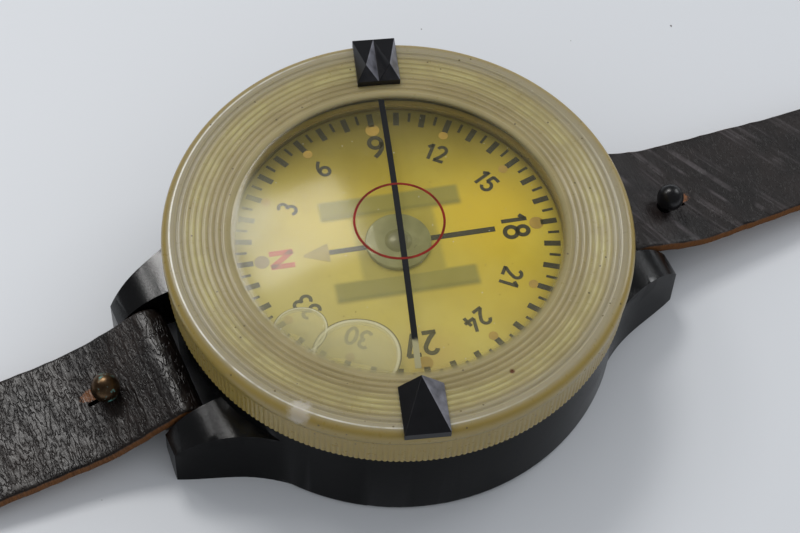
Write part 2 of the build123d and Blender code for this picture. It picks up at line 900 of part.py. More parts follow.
heel_turn = acos(heel_line / fold_meet)
heel_top = (heel_x - heel_line * cos(heel_turn), heel_z + heel_line * sin(heel_turn))
with BuildPart() as strap_left:
    with BuildLine(side_plane(-1)) as left_path:
        lug_fold(left_slope)
        FilletPolyline(
            along(left_slope, 0, loop_line),
            along(left_slope, left_first_run, loop_line),
            (left_landing, leather / 2),
            (left_lift_start, leather / 2),
            (left_lift_end, heel_z),
            (heel_x - fold_meet, heel_z),
            heel_top,
            radius=left_bends,
        )
        ThreePointArc(heel_top, (heel_x + heel_line, heel_z), (heel_x, heel_z - heel_line))
        Line((heel_x, heel_z - heel_line), (heel_x - heel_fold, heel_z - heel_line))
    swept_leather(left_path.wire())
    stud_slit(-1, left_slope, left_stud_reach, left_stud_aside)
    with BuildSketch():
        with Locations((-heel_x, 0)):
            Rectangle(2 * prong_slot_start, prong_slot_width)
    extrude(amount=heel_z + 2 * heel_line, mode=Mode.SUBTRACT)
save(strap_left, "strap_left")

with BuildPart() as strap_right:
    with BuildLine(side_plane(1)) as right_path:
        lug_fold(right_slope)
        FilletPolyline(
            along(right_slope, 0, loop_line),
            along(right_slope, right_first_run, loop_line),
            (right_landing, leather / 2),
            (right_end, leather / 2),
            radius=right_bends,
        )
    swept_leather(right_path.wire())
    stud_slit(1, right_slope, right_stud_reach, right_stud_aside)
    with BuildSketch():
        tip_start = right_end - tip_length
        taper_end = bar_x + right_taper_run
        with BuildLine():
            for side in (-1, 1):
                Polyline(
                    (bar_x - loop_radius - 1, side * strap_width / 2),
                    (bar_x + fold_back, side * strap_width / 2),
                    (taper_end, side * tip_width / 2),
                    (tip_start, side * tip_width / 2),
                )
            for side in (-1, 1):
                RadiusArc((tip_start, side * tip_width / 2), (right_end, 0), side * tip_arc)
            Line(
                (bar_x - loop_radius - 1, -strap_width / 2),
                (bar_x - loop_radius - 1, strap_width / 2),
            )
        make_face()
    extrude(amount=bar_z + 3 * loop_radius, mode=Mode.INTERSECT)
    with BuildSketch():
        with Locations(*[(right_end - hole_to_tip - hole * hole_spacing, 0) for hole in range(hole_count)]):
            Circle(hole_radius)
    extrude(amount=2 * leather, mode=Mode.SUBTRACT)
save(strap_right, "strap_right")

# Ball studs that button the straps, each with a screw from below
strap_sides = (
    (-1, left_slope, left_stud_reach, left_stud_aside, left_ball_radius, "left"),
    (1, right_slope, right_stud_reach, right_stud_aside, right_ball_radius, "right"),
)
for side, slope, reach, aside, ball_radius, word in strap_sides:
    ball_rise = 1.5 * leather + layer_gap + running_fit + ball_radius
    with BuildPart() as stud:
        with BuildSketch(stud_plane(side, slope, reach, aside, -leather / 2)):
            Circle(stud_neck_radius)
        extrude(amount=leather / 2 + ball_rise)
        with Locations(stud_plane(side, slope, reach, aside, ball_rise)):
            Sphere(ball_radius)
        with BuildSketch(stud_plane(side, slope, reach, aside, -leather / 2)):
            Circle(screw_shank + pin_fit)
        extrude(amount=screw_reach + pin_fit, mode=Mode.SUBTRACT)
    save(stud, f"stud_{word}")
    with BuildPart() as stud_screw:
        with BuildSketch(stud_plane(side, slope, reach, aside, -leather / 2)):
            Circle(screw_radius)
        extrude(amount=-screw_head)
        chamfer(stud_screw.faces().sort_by(Axis.Z)[0].edges(), length=screw_head / 3)
        with BuildSketch(stud_plane(side, slope, reach, aside, -leather / 2)):
            Circle(screw_shank)
        extrude(amount=screw_reach)
        with BuildSketch(stud_plane(side, slope, reach, aside, -leather / 2 - screw_head)):
            Rectangle(3 * screw_radius, slit_width)
        extrude(amount=screw_head / 2, mode=Mode.SUBTRACT)
    save(stud_screw, f"stud_screw_{word}")

# Keeper: a leather band round both layers, with room above for the other strap's tip
with BuildPart() as strap_keeper:
    stack_top = heel_z + leather / 2
    inside_width = strap_width + 2 * seat_gap
    inside_height = stack_top - keeper_thickness + keeper_room
    with BuildSketch(Plane.YZ.offset(-keeper_centre)):
        with Locations((0, inside_height / 2 + keeper_thickness)):
            RectangleRounded(
                inside_width + 2 * keeper_thickness, inside_height + 2 * keeper_thickness, keeper_corner
            )
            RectangleRounded(inside_width, inside_height, seat_gap, mode=Mode.SUBTRACT)
    extrude(amount=keeper_width / 2, both=True)
save(strap_keeper, "strap_keeper")

# Buckle: a wire frame with eyes on a bar through the strap's end
tilt = asin((heel_z - frame_wire) / frame_reach)
buckle_plane = Plane(
    origin=(-heel_x, 0, heel_z), x_dir=(-cos(tilt), 0, -sin(tilt)), z_dir=(-sin(tilt), 0, cos(tilt))
)
prong_side = Plane(origin=buckle_plane.origin, x_dir=buckle_plane.x_dir, z_dir=(0, 1, 0))
arm = strap_width / 2 + frame_side_gap + frame_wire
with BuildPart() as buckle_frame:
    with BuildLine(buckle_plane) as frame_path:
        FilletPolyline(
            (0, -arm), (frame_reach, -arm), (frame_reach, arm), (0, arm), radius=[frame_corner] * 2
        )
    frame_wire_path = frame_path.wire()
    with BuildSketch(Plane(origin=frame_wire_path @ 0, z_dir=frame_wire_path % 0)):
        Circle(frame_wire)
    sweep(path=frame_wire_path)
    for side in (-1, 1):
        with BuildSketch(prong_side.offset(side * arm)):
            Circle(frame_eye_radius)
        extrude(amount=frame_wire, both=True)
    with BuildSketch(prong_side):
        Circle(heel_bar_radius + pin_fit)
    extrude(amount=arm + frame_wire, both=True, mode=Mode.SUBTRACT)
save(buckle_frame, "buckle_frame")

with BuildPart() as buckle_bar:
    with BuildSketch(prong_side):
        Circle(heel_bar_radius)
    extrude(amount=arm + frame_wire, both=True)
save(buckle_bar, "buckle_bar")

# Prong: an eye round the buckle's bar and a tongue over the frame's front
with BuildPart() as buckle_prong:
    eye_bore = heel_bar_radius + running_fit
    eye_radius = eye_bore + prong_eye
    rest_line = frame_wire + layer_gap
    with BuildSketch(prong_side):
        with BuildLine():
            Polyline(
                (0, eye_radius),
                (frame_reach + prong_overhang, rest_line + prong_thickness * 0.7),
                (frame_reach + prong_overhang, rest_line),
                (eye_bore, eye_bore),
                (0, eye_bore),
                close=True,
            )
        make_face()
        Circle(eye_radius)
        Circle(eye_bore, mode=Mode.SUBTRACT)
    extrude(amount=prong_width / 2, both=True)
save(buckle_prong, "buckle_prong")
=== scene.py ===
import math

import bmesh
import bpy
import numpy as np
from mathutils import Matrix, Vector


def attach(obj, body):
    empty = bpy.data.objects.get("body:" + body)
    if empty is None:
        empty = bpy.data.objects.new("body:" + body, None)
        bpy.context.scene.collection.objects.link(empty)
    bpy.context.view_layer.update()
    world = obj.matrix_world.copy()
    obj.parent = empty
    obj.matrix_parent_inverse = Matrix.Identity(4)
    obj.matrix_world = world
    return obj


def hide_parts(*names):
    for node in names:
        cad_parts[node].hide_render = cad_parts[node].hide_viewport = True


# Looks for the wrist compass. Lengths are millimetres until a mesh is made.
# Origin: centre of the case's flat underside, +Z the turning axis, +X along the strap.
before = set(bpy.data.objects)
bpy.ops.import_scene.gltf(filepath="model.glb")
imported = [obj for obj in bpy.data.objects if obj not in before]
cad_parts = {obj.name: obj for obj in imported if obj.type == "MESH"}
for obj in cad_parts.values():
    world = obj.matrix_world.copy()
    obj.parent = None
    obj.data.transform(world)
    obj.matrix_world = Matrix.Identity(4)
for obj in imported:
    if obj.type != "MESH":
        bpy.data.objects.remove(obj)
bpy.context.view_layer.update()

MM = 0.001

# Directions at rest, in degrees from +X towards +Y
sight_heading = 73.0
card_heading = 167.3

# Turning bezel and its window
bezel_radius = 29.0
top_radius = 29.2
knurl_root = 28.7
skirt_bore = 27.2
skirt_bottom = 13.5
ledge_z = 16.3
shoulder_z = 17.9
flare_z = 18.6
rim_top = 20.4
rim_round = 1.1
rim_edge = top_radius - rim_round
window_radius = 20.6
window_edge_z = 20.0
crown_z = 22.0
window_thickness = 1.8
dome_sphere = (window_radius**2 + 4) / 4
chamber_radius = 21.4
capsule_radius = 24.3
capsule_joint_z = 15.0
ridge_first = 21.8
ridge_pitch = 0.78
ridge_count = 8
ridge_depth = 0.08
fine_ring_pitch = 0.43
knurl_teeth = 264
knurl_depth = 0.14

# Marks on the window
line_width = 0.75
line_reach = 20.0
ring_radius = 5.53
ring_width = 0.3
line_lift = 0.02
ring_lift = 0.03
mark_thickness = 0.06

# Card
card_z = 17.0
card_radius = 20.7
hub_radius = 4.1
hub_top = 17.5
hub_round = 0.15
hub_bore = 1.2
hub_neck = 2.3
hub_bottom = 13.8
card_thickness = 0.4
card_bore = 2.4
print_thickness = 0.03
tick_outer = 20.2
spot_reach = 17.6
large_reach, large_height, large_stroke = 14.9, 3.6, 0.56
small_reach, small_height, small_stroke = 14.7, 2.75, 0.44

# Bubbles
bubble_gap = 0.05
bubble_crown = 0.35

# Straps
bar_x = 31.5
bar_z = 6.2
leather = 1.7
strap_width = 16.0
tip_width = 14.5
loop_line = 1.85
fold_back = 11.0
fold_meet = 3.5
fold_bend = 2.5
fold_inset = 1.7
path_step = 0.45
layer_gap = 0.15
left_slope = 24.0
left_first_run = 9.5
left_landing = 74.0
left_lift_start = 80.0
left_lift_end = 88.0
heel_x = 106.0
heel_z = 3.7
heel_fold = 15.0
right_slope = 22.0
right_first_run = 8.0
right_taper_end = 60.0
right_landing = 92.0
right_end = 146.0
tip_length = 11.0
tip_arc = 13.0
hole_places = [85.0, 92.0, 99.0, 106.0, 113.0, 120.0]
hole_radius = 1.1
prong_slot_reach = 4.5
prong_slot_width = 3.2
left_stud_reach = 6.4
left_stud_aside = 0.3
right_stud_reach = 5.6
right_stud_aside = 1.9
neck_hole_radius = 1.0
slit_length = 3.4
slit_width = 0.6
opening_sharp = 50

# Heights between which the openings are cut
prong_cut = (-1.0, 8.0)
hole_cut = (-1.0, 6.0)


def new_object(name, mesh):
    """Object in the scene with this mesh."""
    made = bpy.data.objects.new(name, mesh)
    bpy.context.scene.collection.objects.link(made)
    return made


def opened(mesh, join):
    """Editable shape of a mesh, with points nearer than the join distance made one."""
    shape = bmesh.new()
    shape.from_mesh(mesh)
    bmesh.ops.remove_doubles(shape, verts=shape.verts, dist=join)
    return shape


def closed_into(mesh, shape):
    """Turns the faces of a closed shape outwards and writes it to a mesh."""
    bmesh.ops.recalc_face_normals(shape, faces=shape.faces)
    if shape.calc_volume(signed=True) < 0:
        bmesh.ops.reverse_faces(shape, faces=shape.faces)
    shape.to_mesh(mesh)
    shape.free()


def smooth_up_to(mesh, sharp):
    """Shades smooth, except over edges sharper than an angle in degrees."""
    mesh.shade_smooth()
    mesh.set_sharp_from_angle(angle=math.radians(sharp))


def grid_object(name, points, wrap=False, uv=None, sharp=40.0):
    """Surface through a (rows, columns, 3) grid of points in mm; wrap joins the last row to the first."""
    rows, columns = points.shape[:2]
    i, j = np.meshgrid(np.arange(rows if wrap else rows - 1), np.arange(columns - 1), indexing="ij")
    after = (i + 1) % rows
    quads = np.stack(
        [i * columns + j, i * columns + j + 1, after * columns + j + 1, after * columns + j], -1
    ).reshape(-1, 4)
    mesh = bpy.data.meshes.new(name)
    mesh.from_pydata((points.reshape(-1, 3) * MM).tolist(), [], quads.tolist())
    if uv is not None:
        layer = mesh.uv_layers.new(name="mm")
        layer.data.foreach_set("uv", uv.reshape(-1, 2)[quads.ravel()].ravel())
    shape = opened(mesh, 1e-7)
    bmesh.ops.dissolve_degenerate(shape, edges=shape.edges, dist=1e-8)
    closed_into(mesh, shape)
    smooth_up_to(mesh, sharp)
    return new_object(name, mesh)


def full_turn(count):
    """Evenly spaced angles round a circle."""
    return np.linspace(0, 2 * np.pi, count, endpoint=False)


def about_axis(name, turn, radius, height, sharp):
    """Closed section turned about Z: x = r cos t, y = r sin t."""
    turn, radius, height = np.broadcast_arrays(turn, radius, height)
    points = np.stack([radius * np.cos(turn), radius * np.sin(turn), height], -1)
    return grid_object(name, np.concatenate([points, points[:, :1]], 1), wrap=True, sharp=sharp)


def revolved(name, profile, steps, sharp=40.0):
    """One (radius, height) profile turned about Z, its end joined to its start."""
    radius, height = np.array(profile, float).T
    return about_axis(name, full_turn(steps)[:, None], radius, height, sharp)


def ways(turn):
    """Unit steps along an angle and to the left of it."""
    along = np.array([math.cos(turn), math.sin(turn)])
    return along, np.array([-along[1], along[0]])


def placed(made, body, slot, material, *nodes):
    """Gives a piece its body and material, and hides the CAD nodes it stands for; the slot is not used."""
    made.data.materials.clear()
    made.data.materials.append(material)
    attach(made, body)
    if nodes:
        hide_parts(*nodes)
    return made


def finished_copy(node, body, slot, material, bevel=0.0, sharp=30.0, segments=2):
    """Copy of a CAD node with its triangles joined, its edges rounded and its curves smooth."""
    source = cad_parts[node]
    made = new_object(f"{node}_finish", source.data.copy())
    shape = opened(made.data, 1e-6)
    bmesh.ops.dissolve_limit(
        shape, angle_limit=math.radians(0.5), verts=shape.verts, edges=shape.edges
    )
    closed_into(made.data, shape)
    smooth_up_to(made.data, sharp)
    if bevel:
        edge = made.modifiers.new("edge", "BEVEL")
        edge.width = bevel * MM
        edge.segments = segments
        edge.limit_method = "ANGLE"
        edge.angle_limit = math.radians(sharp)
        edge.harden_normals = True
    return placed(made, body, slot, material, node)


def dome_height(radius):
    """Height of the window's outer sphere above a radius."""
    return crown_z - dome_sphere + np.sqrt(dome_sphere**2 - radius**2)


def rim_height_at(radius):
    """Height of the ridged ring: a straight fall with one rounded groove to each ridge."""
    share = (rim_edge - radius) / (rim_edge - window_radius)
    phase = (radius - ridge_first) / ridge_pitch
    inside = (phase > -0.5) & (phase < ridge_count - 0.5)
    groove = np.where(inside, np.cos(np.pi * phase) ** 4, 0)
    return rim_top - (rim_top - window_edge_z) * share - ridge_depth * groove


# Materials


class Value:
    """A node's output that can stand in a sum: each sign adds one Math node."""

    def __init__(self, shade, socket):
        self.shade = shade
        self.socket = socket

    def __mul__(self, other):
        return self.shade.math("MULTIPLY", self, other)

    def __add__(self, other):
        return self.shade.math("ADD", self, other)

    def __sub__(self, other):
        return self.shade.math("SUBTRACT", self, other)

    def __rsub__(self, other):
        return self.shade.math("SUBTRACT", other, self)

    def __abs__(self):
        return self.shade.math("ABSOLUTE", self)


class Shade:
    """Short calls for building one material's nodes."""

    def __init__(self, name):
        self.material = bpy.data.materials.new(name)
        self.material.use_nodes = True
        self.tree = self.material.node_tree
        self.tree.nodes.clear()
        self.output = self.tree.nodes.new("ShaderNodeOutputMaterial")

    def put(self, value, socket):
        if isinstance(value, Value):
            self.tree.links.new(value.socket, socket)
        else:
            socket.default_value = value

    def node(self, kind, inputs=None, output=0, **settings):
        """One output of a new node with these inputs and settings."""
        made = self.tree.nodes.new(kind)
        for key, value in settings.items():
            setattr(made, key, value)
        for key, value in (inputs or {}).items():
            self.put(value, made.inputs[key])
        return Value(self, made.outputs[output])

    def math(self, operation, *values, clamp=False):
        return self.node("ShaderNodeMath", dict(enumerate(values)), operation=operation, use_clamp=clamp)

    def between(self, value, low, high):
        """Smooth step from 0 at low to 1 at high."""
        inputs = {"Value": value, "From Min": low, "From Max": high}
        return self.node("ShaderNodeMapRange", inputs, "Result", interpolation_type="SMOOTHSTEP")

    def band(self, value, start, full, fade, end):
        """1 from full to fade, falling to 0 at start and at end."""
        return self.between(value, start, full) * self.between(value, end, fade)

    def place(self):
        """Object coordinates in millimetres."""
        coords = self.node("ShaderNodeTexCoord", output="Object")
        return self.node("ShaderNodeVectorMath", {0: coords, "Scale": 1 / MM}, operation="SCALE")

    def uv(self):
        return self.node("ShaderNodeUVMap", uv_map="mm")

    def parts(self, vector):
        first = self.node("ShaderNodeSeparateXYZ", {0: vector})
        return [Value(self, socket) for socket in first.socket.node.outputs]

    def stretched(self, vector, x, y):
        return self.node("ShaderNodeVectorMath", {0: vector, 1: (x, y, 1.0)}, operation="MULTIPLY")

    def noise(self, vector, scale, detail=3.0, roughness=0.5):
        inputs = {"Vector": vector, "Scale": scale, "Detail": detail, "Roughness": roughness}
        return self.node("ShaderNodeTexNoise", inputs, "Fac")

    def mix(self, factor, low, high):
        """Colour between two, each a value or a plain red, green and blue."""
        low, high = (tone if isinstance(tone, Value) else (*tone, 1.0) for tone in (low, high))
        return self.node("ShaderNodeMix", {0: factor, 6: low, 7: high}, 2, data_type="RGBA")

    def layered(self, tone, layers):
        """Colour with others laid over it in turn, each by its mask times its share."""
        for mask, share, colour in layers:
            tone = self.mix(mask * share, tone, colour)
        return tone

    def near(self, place, centre, inner, outer):
        """1 within the inner distance of a point, fading to 0 at the outer one."""
        gap = self.node("ShaderNodeVectorMath", {0: place, 1: centre}, "Value", operation="DISTANCE")
        return self.between(gap, outer, inner)

    def specks(self, place, scale, size, share):
        """Round specks scattered in a share of the cells of a voronoi pattern."""
        cells = self.node("ShaderNodeTexVoronoi", {"Vector": place, "Scale": scale}, "Color")
        distance = Value(self, cells.socket.node.outputs["Distance"])
        chosen = self.math("LESS_THAN", self.parts(cells)[0], share)
        return self.between(distance, size, size * 0.6) * chosen

    def bump(self, height, strength, distance):
        return self.node(
            "ShaderNodeBump", {"Height": height, "Strength": strength, "Distance": distance * MM}
        )

    def blend(self, factor, low, high):
        return self.node("ShaderNodeMixShader", {0: factor, 1: low, 2: high})

    def surface(self, inputs):
        return self.node("ShaderNodeBsdfPrincipled", inputs)

    def done(self, shader):
        self.put(shader, self.output.inputs["Surface"])
        return self.material

    def finish(self, inputs):
        return self.done(self.surface(inputs))


def radius_of(shade, place):
    """Distance from the turning axis in mm."""
    x, y = shade.parts(place)[:2]
    return shade.math("SQRT", x * x + y * y)


def plain(name, colour, roughness=0.4, metallic=0.0, mottle=0.2, grain=8.0, specular=0.5):
    """One finish with a slight cloudiness in its colour and gloss."""
    shade = Shade(name)
    cloud = shade.noise(shade.place(), grain / 10)
    darker = tuple(part * (1 - mottle) for part in colour)
    tone = shade.mix(shade.between(cloud, 0.3, 0.7), darker, colour)
    rough = cloud * 0.2 + (roughness - 0.1)
    return shade.finish(
        {"Base Color": tone, "Roughness": rough, "Metallic": metallic, "Specular IOR Level": specular}
    )


def bezel_material():
    """Aged clear plastic: olive and ringed outside, with painted shade in the ring's grooves and painted
    highlights beside them and along the rim's top edge; clear and hazy yellow over the window, with a
    painted reflection towards its left.
    """
    shade = Shade("aged clear plastic")
    place = shade.place()
    radius = radius_of(shade, place)
    x, y, z = shade.parts(place)
    cloud = shade.noise(place, 0.12, 4.0)
    streak = shade.noise(place, 0.35, 3.0)
    fleck = shade.noise(place, 1.3, 5.0, 0.65)
    ridge_turn = 2 * math.pi / ridge_pitch
    groove_shade_wave = shade.math("COSINE", (radius - ridge_first) * ridge_turn)
    ridge_highlight_wave = shade.math("COSINE", (radius - (ridge_first + 0.3 * ridge_pitch)) * ridge_turn)
    fine_wave = shade.math("COSINE", radius * (2 * math.pi / fine_ring_pitch) + cloud * 9.0)
    uneven = shade.between(streak, 0.35, 0.7) * 0.6 + 0.4
    ringed = shade.band(radius, 20.9, 21.2, 27.6, 28.0) * uneven
    wall = shade.between(radius, 22.0, 21.7) * shade.between(z, 18.4, 18.1)
    # painted highlight along the rim's top edge, on the left side only
    lit_left_side = shade.between(x, 12.0, -12.0)
    painted_crest_highlight = shade.band(radius, 28.0, 28.1, 28.2, 28.3) * lit_left_side * shade.between(streak, 0.2, 0.6)
    scuff = shade.near(place, (-20.9, -19.0, 19.6), 0.4, 2.6) - 0.75 + fleck * 0.9
    nick = shade.near(shade.stretched(place, 1.0, 0.5), (-25.6, -5.5, 19.8), 0.25, 0.6)
    tone = shade.mix(shade.between(cloud, 0.3, 0.7), (0.25, 0.20, 0.088), (0.315, 0.255, 0.12))
    tone = shade.layered(
        tone,
        [
            (shade.between(radius + cloud * 2.0, 26.8, 28.2), 1.0, (0.28, 0.24, 0.145)),
            (shade.band(radius, 23.0, 24.6, 25.2, 27.0), uneven, (0.38, 0.325, 0.135)),
            (shade.between(fine_wave, 0.3, 1.0) * ringed, 0.22, (0.20, 0.155, 0.06)),
            # painted shade darkens each ridge groove; the next layer is a painted highlight on the ridge
            # beside it
            (shade.between(groove_shade_wave, 0.6, 1.0) * ringed, 0.40, (0.17, 0.13, 0.05)),
            (shade.between(ridge_highlight_wave, 0.88, 1.0) * ringed, 0.27, (0.60, 0.54, 0.32)),
            (shade.between(radius, 21.9, 20.8), 0.45, (0.30, 0.25, 0.10)),
            (wall, 1.0, (0.55, 0.40, 0.11)),
            (shade.between(fleck, 0.62, 0.8), 0.3, (0.6, 0.55, 0.38)),
            (shade.between(radius, 28.1, 28.9), 1.0, (0.28, 0.205, 0.055)),
            (painted_crest_highlight, 0.6, (0.72, 0.70, 0.62)),
            (shade.between(scuff, 0.0, 0.5), 0.6, (0.50, 0.46, 0.40)),
            (nick, 1.0, (0.05, 0.045, 0.06)),
            (shade.near(place, (4.2, -23.8, 20.2), 0.15, 0.45), 1.0, (0.10, 0.03, 0.01)),
            (shade.specks(place, 0.75, 0.12, 0.35), 1.0, (0.12, 0.09, 0.04)),
        ],
    )
    plastic = shade.surface(
        {
            "Base Color": tone,
            "Roughness": fleck * 0.25 + 0.18,
            "Subsurface Weight": 0.4,
            "Subsurface Radius": (1.0, 0.75, 0.3),
            "Subsurface Scale": 1.6 * MM,
            "Specular IOR Level": 0.35,
            "Coat Weight": 0.25,
            "Coat Roughness": 0.12,
            "Normal": shade.bump(fleck, 0.12, 0.06),
        }
    )
    see = shade.node("ShaderNodeBsdfTransparent", {"Color": (0.96, 0.95, 0.88, 1)})
    dust = shade.specks(place, 0.62, 0.05, 0.4)
    stained = shade.specks(place, 2.4, 0.3, 0.6) * shade.near(place, (-17.2, 9.0, 20.6), 0.8, 2.6)
    dirt = shade.specks(shade.stretched(place, 1.0, -1.0), 0.7, 0.055, 0.5)
    dirt = shade.math("MAXIMUM", dirt, stained)
    haze_and_reflection_tone = shade.mix(shade.between(cloud, 0.35, 0.65), (0.56, 0.51, 0.27), (0.68, 0.65, 0.44))
    haze_and_reflection_tone = shade.layered(haze_and_reflection_tone, [(dust, 1.0, (0.85, 0.85, 0.80)), (dirt, 1.0, (0.05, 0.03, 0.01))])
    haze_and_reflection = shade.node("ShaderNodeBsdfDiffuse", {"Color": haze_and_reflection_tone})
    # painted reflection of the window light: the diffuse layer grows towards the left and in a soft spot
    # near the left edge; the rest of it is real hazing and marks
    left = shade.between(x * 0.80 + y * 0.60, 6.0, -22.0)
    painted_reflection = shade.near(place, (-17.6, 10.0, 20.5), 1.0, 7.5)
    amount = left * 0.10 + 0.03 + painted_reflection * 0.26 + shade.between(fleck, 0.55, 0.85) * 0.08
    marks = shade.math("MAXIMUM", dust, dirt) * 0.8
    clear = shade.blend(shade.math("MAXIMUM", amount, marks), see, haze_and_reflection)
    gloss = shade.node("ShaderNodeBsdfGlossy", {"Color": (1, 1, 1, 1), "Roughness": 0.13})
    facing = shade.node("ShaderNodeFresnel", {"IOR": 1.49})
    front = 1.0 - shade.node("ShaderNodeNewGeometry", output="Backfacing")
    window = shade.blend(facing * front * 0.45, clear, gloss)
    return shade.done(shade.blend(shade.between(radius, 19.9, 21.2), window, plastic))


def card_material():
    """Yellow face with painted soft shadows of the magnets and carrier, a painted pale reflection towards
    the left, painted shade towards the far side and the rim, and a warm stain near 27.
    """
    shade = Shade("yellow card")
    place = shade.place()
    angle = -math.radians(card_heading)
    turned = shade.node("ShaderNodeVectorRotate", {"Vector": place, "Angle": angle})
    along, across = shade.parts(turned)[:2]
    x, y = shade.parts(place)[:2]
    cloud = shade.noise(place, 0.1, 4.0)
    fine = shade.noise(place, 1.6, 4.0)
    off = abs(across)
    reach = abs(along)
    ends = shade.between(reach, 9.3, 8.5)
    bar = shade.between(abs(off - 6.1), 1.7, 1.1) * ends
    bar_shadow_edge = shade.math("MINIMUM", abs(across - 7.35), abs(across + 4.85))
    plate = shade.between(reach, 5.7, 4.7) * shade.between(off, 7.0, 5.5)
    tone = shade.mix(shade.between(cloud, 0.3, 0.7), (0.58, 0.435, 0.030), (0.70, 0.555, 0.07))
    tone = shade.layered(
        tone,
        [
            (shade.between(fine, 0.5, 0.8), 0.3, (0.48, 0.36, 0.03)),
            (shade.near(turned, (-0.5, 17.0, card_z), 0.5, 6.0), 0.55, (0.62, 0.30, 0.06)),
            (shade.near(turned, (-12.0, -3.0, card_z), 2.0, 10.0), 0.45, (0.80, 0.56, 0.03)),
            # painted reflection: paler towards the left
            (shade.between(x * 0.80 + y * 0.60, 6.0, -18.0), 0.62, (0.66, 0.60, 0.26)),
            # painted shadow: darker towards the far side
            (shade.between(x * 0.25 + y * 0.97, 3.0, 19.0), 0.85, (0.11, 0.088, 0.018)),
            # painted shadows of the magnets and carrier seen through the card, then a darker painted shadow
            # along one edge of each bar
            (shade.math("MAXIMUM", bar * 0.74, plate * 0.48), 1.0, (0.22, 0.22, 0.075)),
            (shade.between(bar_shadow_edge, 0.7, 0.15) * ends, 0.28, (0.13, 0.125, 0.04)),
            # painted shade towards the card's rim, under the ring
            (shade.between(radius_of(shade, place), 18.6, 20.6), 0.5, (0.24, 0.20, 0.05)),
        ],
    )
    return shade.finish({"Base Color": tone, "Roughness": 0.6, "Specular IOR Level": 0.25})


def line_material():
    """Black line paint, with a painted pale reflection over its near end."""
    shade = Shade("line paint")
    place = shade.place()
    x, y = shade.parts(place)[:2]
    turn = math.radians(sight_heading)
    along = x * math.cos(turn) + y * math.sin(turn)
    # painted pale reflection over the near end of the line
    paling = shade.between(along + shade.noise(place, 2.0), -15.6, -16.4)
    tone = shade.mix(paling, (0.010, 0.011, 0.012), (0.34, 0.31, 0.17))
    return shade.finish({"Base Color": tone, "Roughness": 0.5, "Specular IOR Level": 0.15})


def hub_material():
    """Green plastic cap, darker over the pivot's cup."""
    shade = Shade("hub plastic")
    place = shade.place()
    cloud = shade.between(shade.noise(place, 0.6), 0.3, 0.7)
    cup = shade.between(radius_of(shade, place), 1.9, 0.7)
    tone = shade.mix(cloud, (0.20, 0.20, 0.085), (0.26, 0.26, 0.125))
    tone = shade.mix(cup * 0.7, tone, (0.10, 0.10, 0.07))
    return shade.finish({"Base Color": tone, "Roughness": 0.4, "Coat Weight": 0.2})


def bakelite_material():
    """Black moulded resin: a soft gloss on what faces up, dust and fine handling marks."""
    shade = Shade("black resin")
    place = shade.place()
    cloud = shade.noise(place, 0.18, 4.0)
    fine = shade.noise(place, 2.4, 6.0, 0.7)
    tone = shade.mix(shade.between(cloud, 0.3, 0.75), (0.002, 0.002, 0.0022), (0.004, 0.004, 0.0043))
    tone = shade.mix(shade.between(fine, 0.66, 0.8) * 0.3, tone, (0.05, 0.048, 0.045))
    normal = shade.node("ShaderNodeTexCoord", output="Normal")
    upward = shade.between(shade.parts(normal)[2], 0.05, 0.5)
    return shade.finish(
        {
            "Base Color": tone,
            "Roughness": cloud * 0.2 + 0.12,
            "Specular IOR Level": upward * 0.60 + 0.05,
            "Normal": shade.bump(fine, 0.25, 0.06),
        }
    )


def leather_material(name, tones, stain_place, gloss, wax, wrinkled, paling):
    """Waxed leather: short wrinkles with painted shade in their creases, paler slanting streaks, an orange
    raw edge and a stained slit.
    """
    shade = Shade(name)
    flat = shade.uv()
    raw = shade.node("ShaderNodeAttribute", output="Fac", attribute_name="raw_edge")
    pores = shade.noise(flat, 2.2, 5.0, 0.6)
    broad = shade.noise(shade.stretched(flat, 0.5, 0.10), 1.0, 2.0)
    short = shade.noise(shade.stretched(flat, 1.7, 0.5), 1.0, 2.0)
    cloud = shade.noise(flat, 0.14, 4.0)
    fuzz = shade.noise(flat, 3.0, 6.0, 0.7)
    creases = shade.between(abs(short - 0.5), 0.0, 0.045)
    along, across = shade.parts(flat)[:2]
    folds = shade.between(shade.noise(along + across * 0.55, 0.42), 0.52, 0.66)
    pale_streaks = folds * shade.between(shade.noise(flat, 0.22), 0.38, 0.62)
    edge_tone = shade.mix(fuzz, (0.035, 0.011, 0.003), (0.24, 0.085, 0.010))
    squeeze = 0.45
    stain_centre = (stain_place[0] * squeeze, stain_place[1], 0.0)
    stain = shade.near(shade.stretched(flat, squeeze, 1.0), stain_centre, 0.3, 1.7)
    tone = shade.mix(shade.between(cloud, 0.35, 0.7), *tones)
    tone = shade.layered(
        tone,
        [
            # painted shade darkens the crease lines
            (1.0 - creases, 0.5 * wrinkled, (0.004, 0.002, 0.002)),
            (pale_streaks, paling, (0.10, 0.085, 0.09)),
            (shade.between(raw + fuzz * 0.3, 0.5, 0.95), 1.0, edge_tone),
            (shade.between(stain + fuzz, 1.0, 1.3), fuzz, (0.30, 0.095, 0.012)),
        ],
    )
    wrinkles = short * 0.8 + creases * 0.30 + broad * 1.2
    normal = shade.bump(wrinkles * wrinkled + pores * 0.16, 1.0, 0.18)
    return shade.finish(
        {
            "Base Color": tone,
            "Roughness": pores * 0.25 + gloss + raw * 0.4,
            "Specular IOR Level": 0.4,
            "Coat Weight": shade.math("SUBTRACT", 1.0, raw, clamp=True) * wax,
            "Coat Roughness": 0.3,
            "Normal": normal,
            "Coat Normal": normal,
        }
    )


